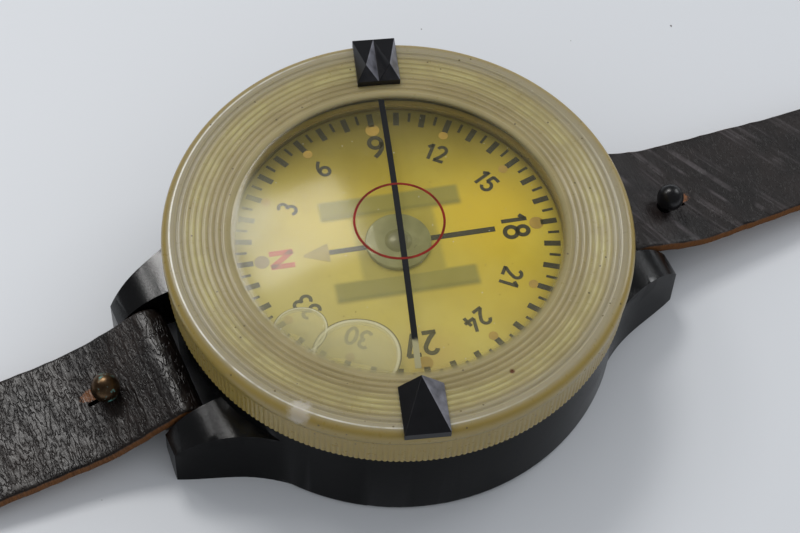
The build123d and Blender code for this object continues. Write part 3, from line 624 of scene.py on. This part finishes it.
def sight_material():
    """Black paint with a painted grey sheen on the facets that face the right-hand side of the view."""
    shade = Shade("sight paint")
    cloud = shade.noise(shade.place(), 0.8, 4.0)
    x, y, z = shade.parts(shade.node("ShaderNodeTexCoord", output="Normal"))
    # painted sheen: grey on the facets that face right, where a lamp is reflected
    painted_sheen = shade.between(x * 0.9 - y * 0.44, 0.08, 0.3) * shade.between(z, 0.3, 0.6)
    tone = shade.mix(cloud, (0.003, 0.003, 0.004), (0.008, 0.008, 0.010))
    tone = shade.mix(painted_sheen * cloud, tone, (0.26, 0.26, 0.30))
    return shade.finish({"Base Color": tone, "Roughness": 0.3, "Specular IOR Level": 0.4})


def verdigris_brass():
    """Dark brass with turquoise corrosion in patches."""
    shade = Shade("old brass")
    place = shade.place()
    cloud = shade.between(shade.noise(place, 0.7, 4.0), 0.3, 0.7)
    patch = shade.between(shade.noise(place, 0.9), 0.56, 0.66)
    tone = shade.mix(cloud, (0.07, 0.04, 0.022), (0.17, 0.105, 0.055))
    tone = shade.mix(patch, tone, (0.08, 0.26, 0.24))
    metal = shade.math("SUBTRACT", 0.9, patch, clamp=True)
    return shade.finish({"Base Color": tone, "Metallic": metal, "Roughness": patch * 0.4 + 0.33})


def bubble_material():
    """Air in the liquid: paler than the card, with a painted thin bright reflection and a painted dark
    outline at its rim.
    """
    shade = Shade("air bubble")
    share = shade.parts(shade.uv())[0]
    # painted reflection: a bright ring just inside the rim; painted shade: a dark outline at the rim
    bright = shade.band(share, 0.88, 0.93, 0.95, 0.985)
    dark = shade.between(share, 0.955, 0.985)
    tone = shade.mix(bright, (0.92, 0.88, 0.66), (0.98, 0.96, 0.88))
    tone = shade.mix(dark, tone, (0.12, 0.10, 0.05))
    see = shade.node("ShaderNodeBsdfTransparent", {"Color": (0.98, 0.975, 0.95, 1)})
    haze_and_reflection = shade.node("ShaderNodeBsdfDiffuse", {"Color": tone})
    return shade.done(shade.blend(bright * 0.40 + 0.27 + dark * 0.6, see, haze_and_reflection))


bakelite = bakelite_material()
aged_clear = bezel_material()
yellow_card = card_material()
print_black = plain("faded print", (0.028, 0.025, 0.018), 0.6, mottle=0.3)
print_red = plain("faded red print", (0.66, 0.085, 0.05), 0.6, mottle=0.15)
line_black = line_material()
ring_red = plain("ring paint", (0.26, 0.012, 0.006), 0.5, mottle=0.6, grain=3.0, specular=0.15)
spot_paint = plain("spot paint", (0.52, 0.33, 0.06), 0.6)
arrow_tan = plain("arrow paint", (0.44, 0.34, 0.10), 0.6)
spot_pink = plain("faded spot paint", (0.34, 0.25, 0.13), 0.6)
hub_green = hub_material()
steel = plain("plain steel", (0.50, 0.49, 0.47), 0.35, metallic=1.0, mottle=0.25)
dark_steel = plain("dark steel", (0.16, 0.15, 0.14), 0.42, metallic=1.0, mottle=0.3)
old_brass = verdigris_brass()
stud_black = plain("black stud", (0.008, 0.008, 0.009), 0.3, mottle=0.3)
sight_black = sight_material()
bubble_air = bubble_material()


# Bezel


def sweep(centre, across, up, start, end, count=20):
    """Points along an ellipse, angles in degrees."""
    turn = np.radians(np.linspace(start, end, count))
    return np.stack([centre[0] + across * np.cos(turn), centre[1] + up * np.sin(turn)], -1)


def arc(centre, radius, start, end, count):
    """List of points along a round arc, angles in degrees."""
    return list(sweep(centre, radius, radius, start, end, count))


def bezel_profile():
    """Section of the moulding: skirt, rim, ridged ring, window and the capsule's mouth."""
    ring = np.linspace(rim_edge, window_radius + 0.1, 92)
    outer = np.linspace(window_radius, 0, 26)
    under = np.linspace(0, chamber_radius, 24)
    behind_knurl = knurl_root - 0.3
    return (
        [(skirt_bore, skirt_bottom), (behind_knurl, skirt_bottom), (behind_knurl, shoulder_z - 0.5)]
        + [(bezel_radius, shoulder_z), (top_radius, flare_z)]
        + arc((rim_edge, rim_top - rim_round), rim_round, 0, 90, 9)
        + list(zip(ring[1:], rim_height_at(ring[1:])))
        + list(zip(outer, dome_height(outer)))
        + list(zip(under, dome_height(under) - window_thickness))
        + [(chamber_radius, capsule_joint_z), (capsule_radius, capsule_joint_z)]
        + [(capsule_radius, ledge_z), (skirt_bore, ledge_z)]
    )


def knurl_band():
    """Ring with a rounded tooth for each step: r = root + depth |sin(teeth t / 2)|, faded at both edges."""
    per_tooth = 6
    turn = full_turn(knurl_teeth * per_tooth)[:, None]
    depth = np.abs(np.sin(turn * knurl_teeth / 2))
    height = np.array([skirt_bottom, 13.6, 14.0, 15.2, 16.6, shoulder_z, shoulder_z, skirt_bottom])
    share = np.array([0.5, 1.0, 1.0, 0.7, 0.35, 0.1, 0.0, 0.0])
    base = np.array([28.6, 28.76, 28.78, 28.80, 28.84, 28.9, 28.3, 28.3])
    return about_axis("bezel_knurl", turn, base + knurl_depth * share * depth, height, 50)


moulding = revolved("bezel_moulding", bezel_profile(), 300, 50)
placed(moulding, "bezel", "clear_bezel", aged_clear, "bezel_dome")
placed(knurl_band(), "bezel", "clear_bezel", aged_clear)


def dome_strip(name, outline, lift):
    """Flat outline grid (rows, columns, 2) laid on the window's outer sphere as a thin closed sheet."""
    radius = np.hypot(outline[..., 0], outline[..., 1])
    top = np.concatenate([outline, (dome_height(radius) + lift)[..., None]], -1)
    bottom = top - np.array([0, 0, mark_thickness])
    sides = [top, bottom[:, ::-1], top[:, :1]]
    return grid_object(name, np.concatenate(sides, 1), sharp=60.0)


along_line = np.linspace(-line_reach, line_reach, 80)[:, None]
line_way, line_side = ways(math.radians(sight_heading))
rows = [along_line * line_way + offset * line_side for offset in (-line_width / 2, 0, line_width / 2)]
course = dome_strip("course_mark", np.stack(rows, 1), line_lift)
placed(course, "bezel", "black_paint", line_black, "course_line")
circle = np.linspace(0, 2 * np.pi, 97)
ring_rows = [
    np.stack([radius * np.cos(circle), radius * np.sin(circle)], -1)
    for radius in (ring_radius - ring_width / 2, ring_radius + ring_width / 2)
]
level = dome_strip("level_mark", np.stack(ring_rows, 1), ring_lift)
placed(level, "bezel", "red_paint", ring_red, "level_ring")

for node in ("front_sight", "rear_sight"):
    finished_copy(node, "bezel", "black_paint", sight_black, bevel=0.09, sharp=20)


# Card


card_spin = np.array(ways(math.radians(card_heading)))


def flat_print(name, outlines, material, slot="black_paint"):
    """Thin closed shapes from (n, 2) outlines in the card's own directions, X towards north."""
    shape = bmesh.new()
    for outline in outlines:
        flat = np.asarray(outline) @ card_spin
        verts = [shape.verts.new((x * MM, y * MM, card_z * MM)) for x, y in flat]
        face = shape.faces.new(verts)
        raised = bmesh.ops.extrude_face_region(shape, geom=[face])
        moved = [item for item in raised["geom"] if isinstance(item, bmesh.types.BMVert)]
        bmesh.ops.translate(shape, verts=moved, vec=(0, 0, print_thickness * MM))
    mesh = bpy.data.meshes.new(name)
    closed_into(mesh, shape)
    return placed(new_object(name, mesh), "card", slot, material)


def bar_outline(heading, inner, outer, width):
    """Rectangle along a heading, clockwise from north as the card is marked."""
    out, side = ways(-math.radians(heading))
    side = side * width / 2
    return [out * inner - side, out * outer - side, out * outer + side, out * inner + side]


def round_outline(radius, count=32):
    """Circle as an outline."""
    turn = full_turn(count)
    return radius * np.stack([np.cos(turn), np.sin(turn)], -1)


def disc_outline(heading, radius, size):
    """Round spot at a heading and radius."""
    return ways(-math.radians(heading))[0] * radius + round_outline(size, 20)


def figure_strokes(character):
    """Centre lines of one round-cornered figure, one high and about half as wide, centred on 0, 0."""
    hook = [(-0.22, -0.19), (-0.215, -0.02), (-0.16, 0.14), (-0.05, 0.29), (0.11, 0.43)]
    six = [sweep((0, -0.19), 0.22, 0.225, 0, 360), hook]
    shapes = {
        "0": [sweep((0, 0), 0.21, 0.41, 0, 360, 32)],
        "1": [[(-0.13, 0.21), (0.07, 0.40)], [(0.06, 0.45), (0.06, -0.45)]],
        "2": [
            np.concatenate([sweep((0, 0.20), 0.20, 0.215, 165, -30), [(0.02, -0.16), (-0.20, -0.40)]]),
            [(-0.24, -0.41), (0.23, -0.41)],
        ],
        "3": [sweep((-0.01, 0.215), 0.19, 0.20, 150, -85), sweep((-0.01, -0.195), 0.22, 0.22, 90, -150)],
        "4": [
            [(0.10, 0.45), (-0.22, -0.16)],
            [(-0.25, -0.18), (0.27, -0.18)],
            [(0.10, 0.06), (0.10, -0.45)],
        ],
        "5": [
            [(0.20, 0.41), (-0.17, 0.41)],
            [(-0.15, 0.44), (-0.18, 0.02)],
            sweep((-0.01, -0.17), 0.22, 0.24, 140, -150),
        ],
        "6": six,
        "7": [[(-0.23, 0.41), (0.24, 0.41)], [(0.21, 0.43), (-0.07, -0.45)]],
        "8": [sweep((0, 0.22), 0.18, 0.19, 0, 360), sweep((0, -0.195), 0.22, 0.22, 0, 360)],
        "9": [-np.asarray(stroke) for stroke in six],
        "N": [
            [(-0.24, -0.45), (-0.24, 0.45)],
            [(-0.24, 0.42), (0.24, -0.42)],
            [(0.24, -0.45), (0.24, 0.45)],
        ],
    }
    return [np.asarray(stroke, float) for stroke in shapes[character]]


def figure_lines(text, heading, radius, height, widen=1.0):
    """Centre lines of a figure on the card, its top outwards, reading clockwise."""
    up, left = ways(-math.radians(heading))
    widths = [0.46 if character == "1" else 0.62 for character in text]
    start = -sum(widths) / 2
    lines = []
    for character, width in zip(text, widths):
        shift = start + width / 2
        start += width
        for stroke in figure_strokes(character):
            x = (stroke[:, :1] + shift) * height * widen
            lines.append(x * -left + (radius + stroke[:, 1:] * height) * up)
    return lines


def ribbons(name, lines, width, material, slot="black_paint"):
    """Thin solid strips along (n, 2) centre lines in the card's own directions, as one piece."""
    levels = card_z + print_thickness * np.array([[1], [1], [0], [0]])
    corners = []
    faces = []
    for line in lines:
        looped = np.allclose(line[0], line[-1])
        line = line[:-1] if looped else line
        ahead = np.roll(line, -1, 0) - np.roll(line, 1, 0) if looped else np.gradient(line, axis=0)
        ahead = ahead / np.linalg.norm(ahead, axis=1)[:, None]
        aside = np.stack([-ahead[:, 1], ahead[:, 0]], -1) * width / 2
        edges = np.stack([line + aside, line - aside, line - aside, line + aside], 1) @ card_spin
        raised = np.broadcast_to(levels, (len(line), 4, 1))
        base = len(corners)
        corners.extend((np.concatenate([edges, raised], -1).reshape(-1, 3) * MM).tolist())
        for step in range(len(line) if looped else len(line) - 1):
            here = base + 4 * step
            there = base + 4 * ((step + 1) % len(line))
            faces.extend((here + k, there + k, there + (k + 1) % 4, here + (k + 1) % 4) for k in range(4))
        if not looped:
            last = base + 4 * (len(line) - 1)
            faces.append((base, base + 1, base + 2, base + 3))
            faces.append((last + 3, last + 2, last + 1, last))
    mesh = bpy.data.meshes.new(name)
    mesh.from_pydata(corners, [], faces)
    shape = bmesh.new()
    shape.from_mesh(mesh)
    closed_into(mesh, shape)
    return placed(new_object(name, mesh), "card", slot, material)


card_under = card_z - card_thickness
card_edge = card_radius - 0.1
face_profile = [
    (card_bore, card_under), (card_edge, card_under), (card_radius, card_under + 0.1),
    (card_radius, card_z - 0.1), (card_edge, card_z), (10.0, card_z), (card_bore, card_z),
]
placed(revolved("card_face", face_profile, 180), "card", "card_yellow", yellow_card, "compass_card")

tick_outlines = []
for degrees in range(0, 360, 5):
    inner, width = (18.8, 0.36) if degrees % 10 else (18.15, 0.75)
    tick_outlines.append(bar_outline(degrees, inner, tick_outer, width))
flat_print("card_ticks", tick_outlines, print_black)
axis_outlines = [bar_outline(0, 4.0, 8.7, 0.7), bar_outline(180, 4.0, 12.3, 0.75)]
flat_print("card_axis_lines", axis_outlines, print_black)
large_lines = []
small_lines = []
for number in range(3, 36, 3):
    if number % 9 == 0:
        large_lines += figure_lines(str(number), 10 * number, large_reach, large_height)
    else:
        small_lines += figure_lines(str(number), 10 * number, small_reach, small_height)
ribbons("cardinal_figures", large_lines, large_stroke, print_black)
ribbons("small_figures", small_lines, small_stroke, print_black)
ribbons("north_figure", figure_lines("N", 0, 14.6, 3.3, 1.25), 0.72, print_red, "red_paint")

arrow_outline = [(8.7, -1.4), (11.9, -0.15), (11.9, 0.15), (8.7, 1.4)]
arrow = flat_print("arrow_paint", [arrow_outline], arrow_tan, "luminous_paint")
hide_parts("north_arrow")
spots = [disc_outline(30 * step, spot_reach, 0.6) for step in range(12) if step % 3]
spots += [disc_outline(90 * step, spot_reach, 0.9) for step in (1, 2, 3)]
dots = flat_print("spot_paint", spots, spot_paint, "luminous_paint")
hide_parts("luminous_dots")
flat_print("north_spot", [disc_outline(0, 17.1, 0.95)], spot_pink, "luminous_paint")

hub_profile = (
    [(0, hub_top - 0.4), (hub_bore, hub_top - 0.4), (hub_bore, hub_bottom), (hub_neck, hub_bottom)]
    + [(hub_neck, card_z), (hub_radius, card_z)]
    + arc((hub_radius - hub_round, hub_top - hub_round), hub_round, 0, 90, 5)
    + [(1.7, hub_top)]
    + list(zip(np.linspace(1.6, 0, 10), hub_top + 0.5 * np.sqrt(1 - np.linspace(0.98, 0, 10) ** 2)))
)
placed(revolved("hub_cap", hub_profile, 96, 35), "card", "hub_plastic", hub_green, "card_hub")


# Bubbles under the window


def bubble(name, centre, radius, depth):
    """Air lens under the window: a cap that follows the sphere above and a rounded belly below."""
    share = np.sin(np.linspace(0, np.pi / 2, 20))
    steps = full_turn(64)[:, None]
    wobble = 1 + 0.03 * np.cos(2 * steps + 0.4) + 0.02 * np.cos(3 * steps)
    x = centre[0] + radius * share * wobble * np.cos(steps)
    y = centre[1] + radius * share * wobble * np.sin(steps)
    ceiling = dome_height(np.hypot(x, y)) - window_thickness - bubble_gap
    top = ceiling - bubble_crown * (1 - np.sqrt(1 - np.clip(share, 0, 1) ** 2 * 0.999))
    belly = top[:, -1:] - (depth - bubble_crown) * np.sqrt(1 - share**2)
    upper = np.stack([x, y, top], -1)
    lower = np.stack([x, y, np.minimum(belly, top)], -1)
    points = np.concatenate([upper, lower[:, ::-1]], 1)
    both_ways = np.concatenate([share, share[::-1]])
    uv = np.stack(np.broadcast_arrays(both_ways, steps / (2 * np.pi)), -1)
    lens = grid_object(name, points, wrap=True, uv=uv, sharp=80)
    placed(lens, "bezel", "clear_bezel", bubble_air)


bubble("large_bubble", (-11.65, -13.95), 5.3, 1.6)
bubble("small_bubble", (-16.4, -7.9), 3.3, 1.4)


# Case and bars
finished_copy("case", "case", "bakelite", bakelite, bevel=0.22, sharp=28, segments=3)
for side in ("left", "right"):
    finished_copy(f"strap_bar_{side}", "case", "steel", steel, bevel=0.05)


# Straps


def along_run(slope, reach, rise):
    """A point out along the strap's first run and up from it, measured from the bar."""
    out, up = ways(-math.radians(slope))
    return np.array([bar_x, bar_z]) + out * reach + up * rise


def unit(step):
    """A step of length one the same way."""
    return step / np.linalg.norm(step)


def filleted(points, radii):
    """Polyline with its inner corners rounded by the given radii."""
    points = [np.asarray(point, float) for point in points]
    done = [points[0]]
    for before, corner, after, radius in zip(points, points[1:], points[2:], radii):
        back = unit(before - corner)
        ahead = unit(after - corner)
        half = math.acos(np.clip(back @ ahead, -1, 1)) / 2
        cut = radius / math.tan(half)
        centre = corner + unit(back + ahead) * radius / math.sin(half)
        start = corner + back * cut - centre
        end = corner + ahead * cut - centre
        for share in np.linspace(0, 1, 14):
            done.append(centre + unit(start * (1 - share) + end * share) * radius)
    done.append(points[-1])
    return done


def bar_loop(slope):
    """Short end under the strap and round the bar."""
    turn = math.acos(loop_line / fold_meet)
    low = along_run(slope, loop_line * math.cos(turn), -loop_line * math.sin(turn))
    back = filleted([along_run(slope, fold_back, 0), along_run(slope, fold_meet, 0), low], [fold_bend])
    around = np.linspace(-turn, -1.5 * math.pi, 40)[1:]
    return back + [along_run(slope, loop_line * math.cos(a), loop_line * math.sin(a)) for a in around]


def resampled(path):
    """Evenly spaced points along a path, with the distance along it."""
    path = np.array(path)
    gaps = np.hypot(*np.diff(path, axis=0).T)
    keep = np.concatenate([[True], gaps > 1e-6])
    path = path[keep]
    distance = np.concatenate([[0], np.cumsum(np.hypot(*np.diff(path, axis=0).T))])
    even = np.linspace(0, distance[-1], int(distance[-1] / path_step))
    return np.stack([np.interp(even, distance, path[:, k]) for k in (0, 1)], -1), even


def strap_section():
    """Closed section (across share, height share, raw) of a strip with rounded edges."""
    top = [(v, 1.0, 0.0) for v in np.linspace(-0.955, 0.955, 33)]
    right = [(0.975, 0.95, 0.15), (0.992, 0.75, 0.6), (1.0, 0.3, 1.0), (1.0, -0.3, 1.0), (0.99, -0.8, 1.0)]
    under = [(v, -1.0, 1.0) for v in np.linspace(0.965, -0.965, 17)]
    left = [(-v, h, r) for v, h, r in reversed(right)]
    return np.array(top + right + under + left + top[:1])


def strap(hand, side, path, half_width, material, ripple):
    """Strip of leather swept along its path; half_width gives the half width at a distance out."""
    line, distance = resampled(path)
    tangent = np.gradient(line, axis=0)
    tangent /= np.linalg.norm(tangent, axis=1)[:, None]
    normal = np.stack([-tangent[:, 1], tangent[:, 0]], -1)
    inset = np.interp(distance, [fold_back - 4, fold_back], [fold_inset, 0])
    aside, rise, rawness = strap_section().T
    across = aside * (half_width(line[:, 0]) - inset)[:, None]
    dent = ripple(distance[:, None], across) * (rise > 0.9)
    height = rise * leather / 2 - dent
    nibble = 0.10 * np.abs(np.sin(distance * 0.83) * np.sin(distance * 0.31 + 1))[:, None]
    across = across - np.sign(across) * nibble * (np.abs(aside) > 0.9)
    out = line[:, :1] + normal[:, :1] * height
    up = line[:, 1:] + normal[:, 1:] * height
    points = np.stack([side * out, side * across, up], -1)
    ends = (points[:1], points[-1:])
    first, last = (np.broadcast_to(end.mean(1, keepdims=True), end.shape) for end in ends)
    points = np.concatenate([first, points, last])
    distance = np.concatenate([distance[:1], distance, distance[-1:]])
    uv = np.stack(np.broadcast_arrays(distance[:, None], aside * strap_width / 2), -1)
    made = grid_object(f"{hand}_strap_leather", points, uv=uv, sharp=opening_sharp)
    raw = np.broadcast_to(rawness, points.shape[:2]).copy()
    raw[0] = raw[-1] = 1.0
    raw *= np.interp(distance, [fold_back, fold_back + 3], [0.35, 1.0])[:, None]
    layer = made.data.attributes.new("raw_edge", "FLOAT", "POINT")
    corners = np.array([vertex.co for vertex in made.data.vertices])
    layer.data.foreach_set("value", nearest_values(corners, points.reshape(-1, 3) * MM, raw.ravel()))
    return placed(made, f"strap_{hand}", "strap_leather", material, f"strap_{hand}")


def nearest_values(corners, points, values):
    """Value at each mesh corner from the grid point at the same place."""
    keys = {tuple(key): value for key, value in zip(np.round(points * 1e6).astype(int), values)}
    found = [keys.get(tuple(key), 0.0) for key in np.round(corners * 1e6).astype(int)]
    return np.array(found, np.float32)


def left_ripple(distance, across):
    """Shallow creases across the glossy strap, deepest where it bends."""
    bend = np.exp(-(((distance - 40) / 14) ** 2)) + 0.4
    lines = np.sin(distance * 2.3 + 0.8 * np.sin(across * 0.5)) * np.sin(distance * 0.9 + 1.0)
    return 0.055 * bend * (1 + lines)


def right_ripple(distance, across):
    """Soft slanting folds on the right strap, strongest just past the stud."""
    slant = distance + 0.55 * across
    fold = np.sin(slant * 1.25) * (0.55 + 0.45 * np.sin(slant * 0.43 + 2.0))
    return (0.07 + 0.10 * np.exp(-(((distance - 30) / 8) ** 2))) * (1 + fold)


def slit_distance(slope, reach):
    """Distance along the strap from its folded end to the middle of the slit."""
    loop = np.diff(np.array(bar_loop(slope)), axis=0)
    return float(np.hypot(*loop.T).sum()) + reach + slit_length / 2


def keyhole_outline():
    """Round hole for the stud's neck with a slit running outwards from it."""
    corner = math.degrees(math.asin(slit_width / 2 / neck_hole_radius))
    hole = arc((0, 0), neck_hole_radius, corner, 360 - corner, 28)
    end = arc((slit_length - slit_width / 2, 0), slit_width / 2, -90, 90, 7)
    return np.array(hole + end)


def stud_place(side, slope, reach, aside):
    """Matrix of the plane at a stud, with X along the strap and Z out of it, in mm."""
    out, up = along_run(slope, reach, 0)
    x_way, z_way = (Vector((side * way[0], 0, way[1])) for way in ways(-math.radians(slope)))
    turned = Matrix((x_way, z_way.cross(x_way), z_way)).transposed()
    return Matrix.Translation(Vector((side * out, -aside, up))) @ turned.to_4x4()


def stud_cuts(side, slope, reach, aside):
    """The keyhole slit in the strap and the round hole in the short end below it."""
    middle = leather / 2 + layer_gap / 2
    plane = stud_place(side, slope, reach, aside)
    return [
        (plane, keyhole_outline(), middle, leather * 2),
        (plane, round_outline(neck_hole_radius), -leather, middle - 0.01),
    ]


def cut_away(made, cuts):
    """Takes straight prisms, each a matrix, an outline and two heights, out of a strap."""
    corners = []
    faces = []
    for plane, outline, low, high in cuts:
        count = len(outline)
        base = len(corners)
        for height in (low, high):
            corners += [plane @ Vector((x, y, height)) * MM for x, y in outline]
        faces.append(tuple(range(base + count - 1, base - 1, -1)))
        faces.append(tuple(range(base + count, base + 2 * count)))
        for k in range(count):
            after = (k + 1) % count
            faces.append((base + k, base + after, base + count + after, base + count + k))
    mesh = bpy.data.meshes.new("cutter")
    mesh.from_pydata(corners, [], faces)
    layer = mesh.attributes.new("raw_edge", "FLOAT", "POINT")
    layer.data.foreach_set("value", np.ones(len(corners), np.float32))
    cutter = new_object("cutter", mesh)
    opening = made.modifiers.new("openings", "BOOLEAN")
    opening.operation = "DIFFERENCE"
    opening.solver = "MANIFOLD"
    opening.object = cutter
    bpy.context.view_layer.update()
    ready = made.evaluated_get(bpy.context.evaluated_depsgraph_get())
    made_mesh = bpy.data.meshes.new_from_object(ready)
    made.modifiers.clear()
    made.data = made_mesh
    smooth_up_to(made_mesh, opening_sharp)
    bpy.data.objects.remove(cutter)


heel_turn = math.acos(loop_line / fold_meet)
heel_top = (heel_x - loop_line * math.cos(heel_turn), heel_z + loop_line * math.sin(heel_turn))
left_top = filleted(
    [
        along_run(left_slope, 0, loop_line),
        along_run(left_slope, left_first_run, loop_line),
        (left_landing, leather / 2),
        (left_lift_start, leather / 2),
        (left_lift_end, heel_z),
        (heel_x - fold_meet, heel_z),
        heel_top,
    ],
    [24.0, 60.0, 15.0, 15.0, 6.0],
)
around_heel = np.linspace(math.pi - heel_turn, -math.pi / 2, 30)[1:]
left_heel = [(heel_x + loop_line * math.cos(a), heel_z + loop_line * math.sin(a)) for a in around_heel]
left_path = bar_loop(left_slope) + left_top[1:] + left_heel + [(heel_x - heel_fold, heel_z - loop_line)]
left_slit = slit_distance(left_slope, left_stud_reach)
left_leather = leather_material(
    "left leather",
    tones=((0.006, 0.004, 0.0035), (0.016, 0.009, 0.006)),
    stain_place=(left_slit + 0.6, left_stud_aside - 1.2),
    gloss=0.22,
    wax=0.4,
    wrinkled=1.0,
    paling=0.0,
)


def left_half_width(out):
    """The same width all along."""
    return np.full_like(out, strap_width / 2)


left_strap = strap("left", -1, left_path, left_half_width, left_leather, left_ripple)
box_corners = ((-1, -1), (1, -1), (1, 1), (-1, 1))
heel_box = [(x * prong_slot_reach, y * prong_slot_width / 2) for x, y in box_corners]
prong_slot = (Matrix.Translation(Vector((-heel_x, 0, 0))), heel_box, *prong_cut)
cut_away(left_strap, stud_cuts(-1, left_slope, left_stud_reach, left_stud_aside) + [prong_slot])


def right_half_width(out):
    """Full width at the bar, narrower from the table on, and a pointed tip of two arcs."""
    tip_start = right_end - tip_length
    taper = np.interp(out, [bar_x + fold_back, right_taper_end], [strap_width / 2, tip_width / 2])
    reach = np.clip(out - tip_start, 0, tip_length)
    centre_back = (tip_width / 2) ** 2 + tip_length**2
    lean = math.atan2(tip_width / 2, tip_length)
    half_chord = math.sqrt(centre_back) / 2
    bow = math.sqrt(tip_arc**2 - half_chord**2)
    centre_x = tip_length / 2 - bow * math.sin(lean)
    centre_y = tip_width / 4 - bow * math.cos(lean)
    tip = centre_y + np.sqrt(np.maximum(tip_arc**2 - (reach - centre_x) ** 2, 0))
    return np.where(out > tip_start, np.maximum(tip, 0.3), taper)


right_top = filleted(
    [
        along_run(right_slope, 0, loop_line),
        along_run(right_slope, right_first_run, loop_line),
        (right_landing, leather / 2),
        (right_end, leather / 2),
    ],
    [20.0, 60.0],
)
right_slit = slit_distance(right_slope, right_stud_reach)
right_leather = leather_material(
    "right leather",
    tones=((0.008, 0.0055, 0.0055), (0.017, 0.011, 0.010)),
    stain_place=(right_slit + 1.0, 1.0 - right_stud_aside),
    gloss=0.42,
    wax=0.18,
    wrinkled=0.5,
    paling=0.6,
)
right_path = bar_loop(right_slope) + right_top[1:]
right_strap = strap("right", 1, right_path, right_half_width, right_leather, right_ripple)
holes = [(Matrix.Translation(Vector((x, 0, 0))), round_outline(hole_radius), *hole_cut) for x in hole_places]
cut_away(right_strap, stud_cuts(1, right_slope, right_stud_reach, right_stud_aside) + holes)

# Studs, screws, keeper and buckle
finished_copy("stud_left", "strap_left", "brass", old_brass, sharp=50)
finished_copy("stud_right", "strap_right", "stud_black", stud_black, sharp=50)
finished_copy("stud_screw_left", "strap_left", "brass", old_brass, bevel=0.05)
finished_copy("stud_screw_right", "strap_right", "stud_black", stud_black, bevel=0.05)
keeper_leather = plain("keeper leather", (0.012, 0.007, 0.006), 0.35, mottle=0.4)
finished_copy("strap_keeper", "strap_left", "strap_leather", keeper_leather, bevel=0.25, segments=3)
finished_copy("buckle_frame", "buckle", "buckle_steel", dark_steel, bevel=0.08)
finished_copy("buckle_bar", "buckle", "buckle_steel", dark_steel, bevel=0.1)
finished_copy("buckle_prong", "prong", "buckle_steel", dark_steel, bevel=0.15, segments=3)

# Inner pieces keep their CAD form with a fitting finish
inner_finish = {
    "capsule_base": plain("aged inner plastic", (0.55, 0.46, 0.24), 0.45),
    "magnet_bars": dark_steel, "magnet_carrier": old_brass, "pivot_post": old_brass,
    "pivot_needle": steel, "jewel_cup": print_red, "filler_plug": old_brass,
    "clamp_ring": old_brass, "expansion_diaphragm": old_brass, "retaining_ring": steel,
    "friction_washer": plain("felt", (0.10, 0.09, 0.08), 0.9, mottle=0.3),
    "capsule_gasket": stud_black, "sight_pins": steel,
}
for node, material in inner_finish.items():
    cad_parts[node].data.materials.clear()
    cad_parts[node].data.materials.append(material)

# Table, light and camera
table_shade = Shade("pale table")
speck = table_shade.noise(table_shade.place(), 0.9, 2.0, 0.4)
speck = table_shade.between(speck, 0.79, 0.82)
table_tone = table_shade.mix(speck, (0.640, 0.655, 0.680), (0.12, 0.11, 0.10))
table_material = table_shade.finish({"Base Color": table_tone, "Roughness": 0.45})
table_mesh = bpy.data.meshes.new("table")
table_mesh.from_pydata([(-4, -4, 0), (4, -4, 0), (4, 4, 0), (-4, 4, 0)], [], [(0, 1, 2, 3)])
table_mesh.materials.append(table_material)
new_object("table", table_mesh)

view_turn = math.radians(-26.0)
view_rise = 1.0125845
view_distance = 287.27
view_pan, view_tilt, view_roll = 0.0013343, -0.0222438, -0.0505797
right_way, away = (Vector((*way, 0)) for way in ways(view_turn))


def soft_light(name, sideways, distance, height, size, power, colour):
    """Area light placed as seen from the camera, aimed at the compass."""
    light = bpy.data.lights.new(name, "AREA")
    light.shape = "RECTANGLE"
    light.size, light.size_y = size
    light.energy = power
    light.color = colour
    made = new_object(name, light)
    made.location = right_way * sideways + away * distance + Vector((0, 0, height))
    made.rotation_euler = (Vector((0, 0, 0.01)) - made.location).to_track_quat("-Z", "Y").to_euler()


soft_light("window_light", -0.25, 0.52, 0.82, (0.30, 0.26), 2.7, (1.0, 0.99, 0.97))
soft_light("side_light", 0.65, 0.53, 0.56, (0.4, 0.35), 1.8, (0.96, 0.98, 1.0))
soft_light("left_light", -0.578, 0.364, 0.73, (0.16, 0.2), 0.75, (1.0, 0.99, 0.98))

# A pale room that glossy surfaces see dimmer
world = bpy.data.worlds.new("room")
bpy.context.scene.world = world
world.use_nodes = True
room = world.node_tree
backdrop = room.nodes["Background"]
backdrop.inputs[0].default_value = (0.93, 0.96, 1.0, 1)
seen_by = room.nodes.new("ShaderNodeLightPath")
dimmer = room.nodes.new("ShaderNodeMapRange")
dimmer.inputs["To Min"].default_value = 0.66
dimmer.inputs["To Max"].default_value = 0.10
room.links.new(seen_by.outputs["Is Glossy Ray"], dimmer.inputs["Value"])
room.links.new(dimmer.outputs["Result"], backdrop.inputs[1])

camera_data = bpy.data.cameras.new("camera")
camera_data.lens = 99.0
camera_data.sensor_width = 36.0
camera_data.clip_start = 0.01
camera = new_object("camera", camera_data)
bpy.context.scene.camera = camera
level_view = Matrix.Rotation(view_turn, 3, "Z") @ Matrix.Rotation(math.pi / 2 - view_rise, 3, "X")
turned_view = (
    level_view
    @ Matrix.Rotation(-view_pan, 3, "Y")
    @ Matrix.Rotation(-view_tilt, 3, "X")
    @ Matrix.Rotation(-view_roll, 3, "Z")
)
camera_place = level_view.col[2] * view_distance * MM
camera.matrix_world = Matrix.Translation(camera_place) @ turned_view.to_4x4()
bpy.context.scene.view_settings.view_transform = "Standard"
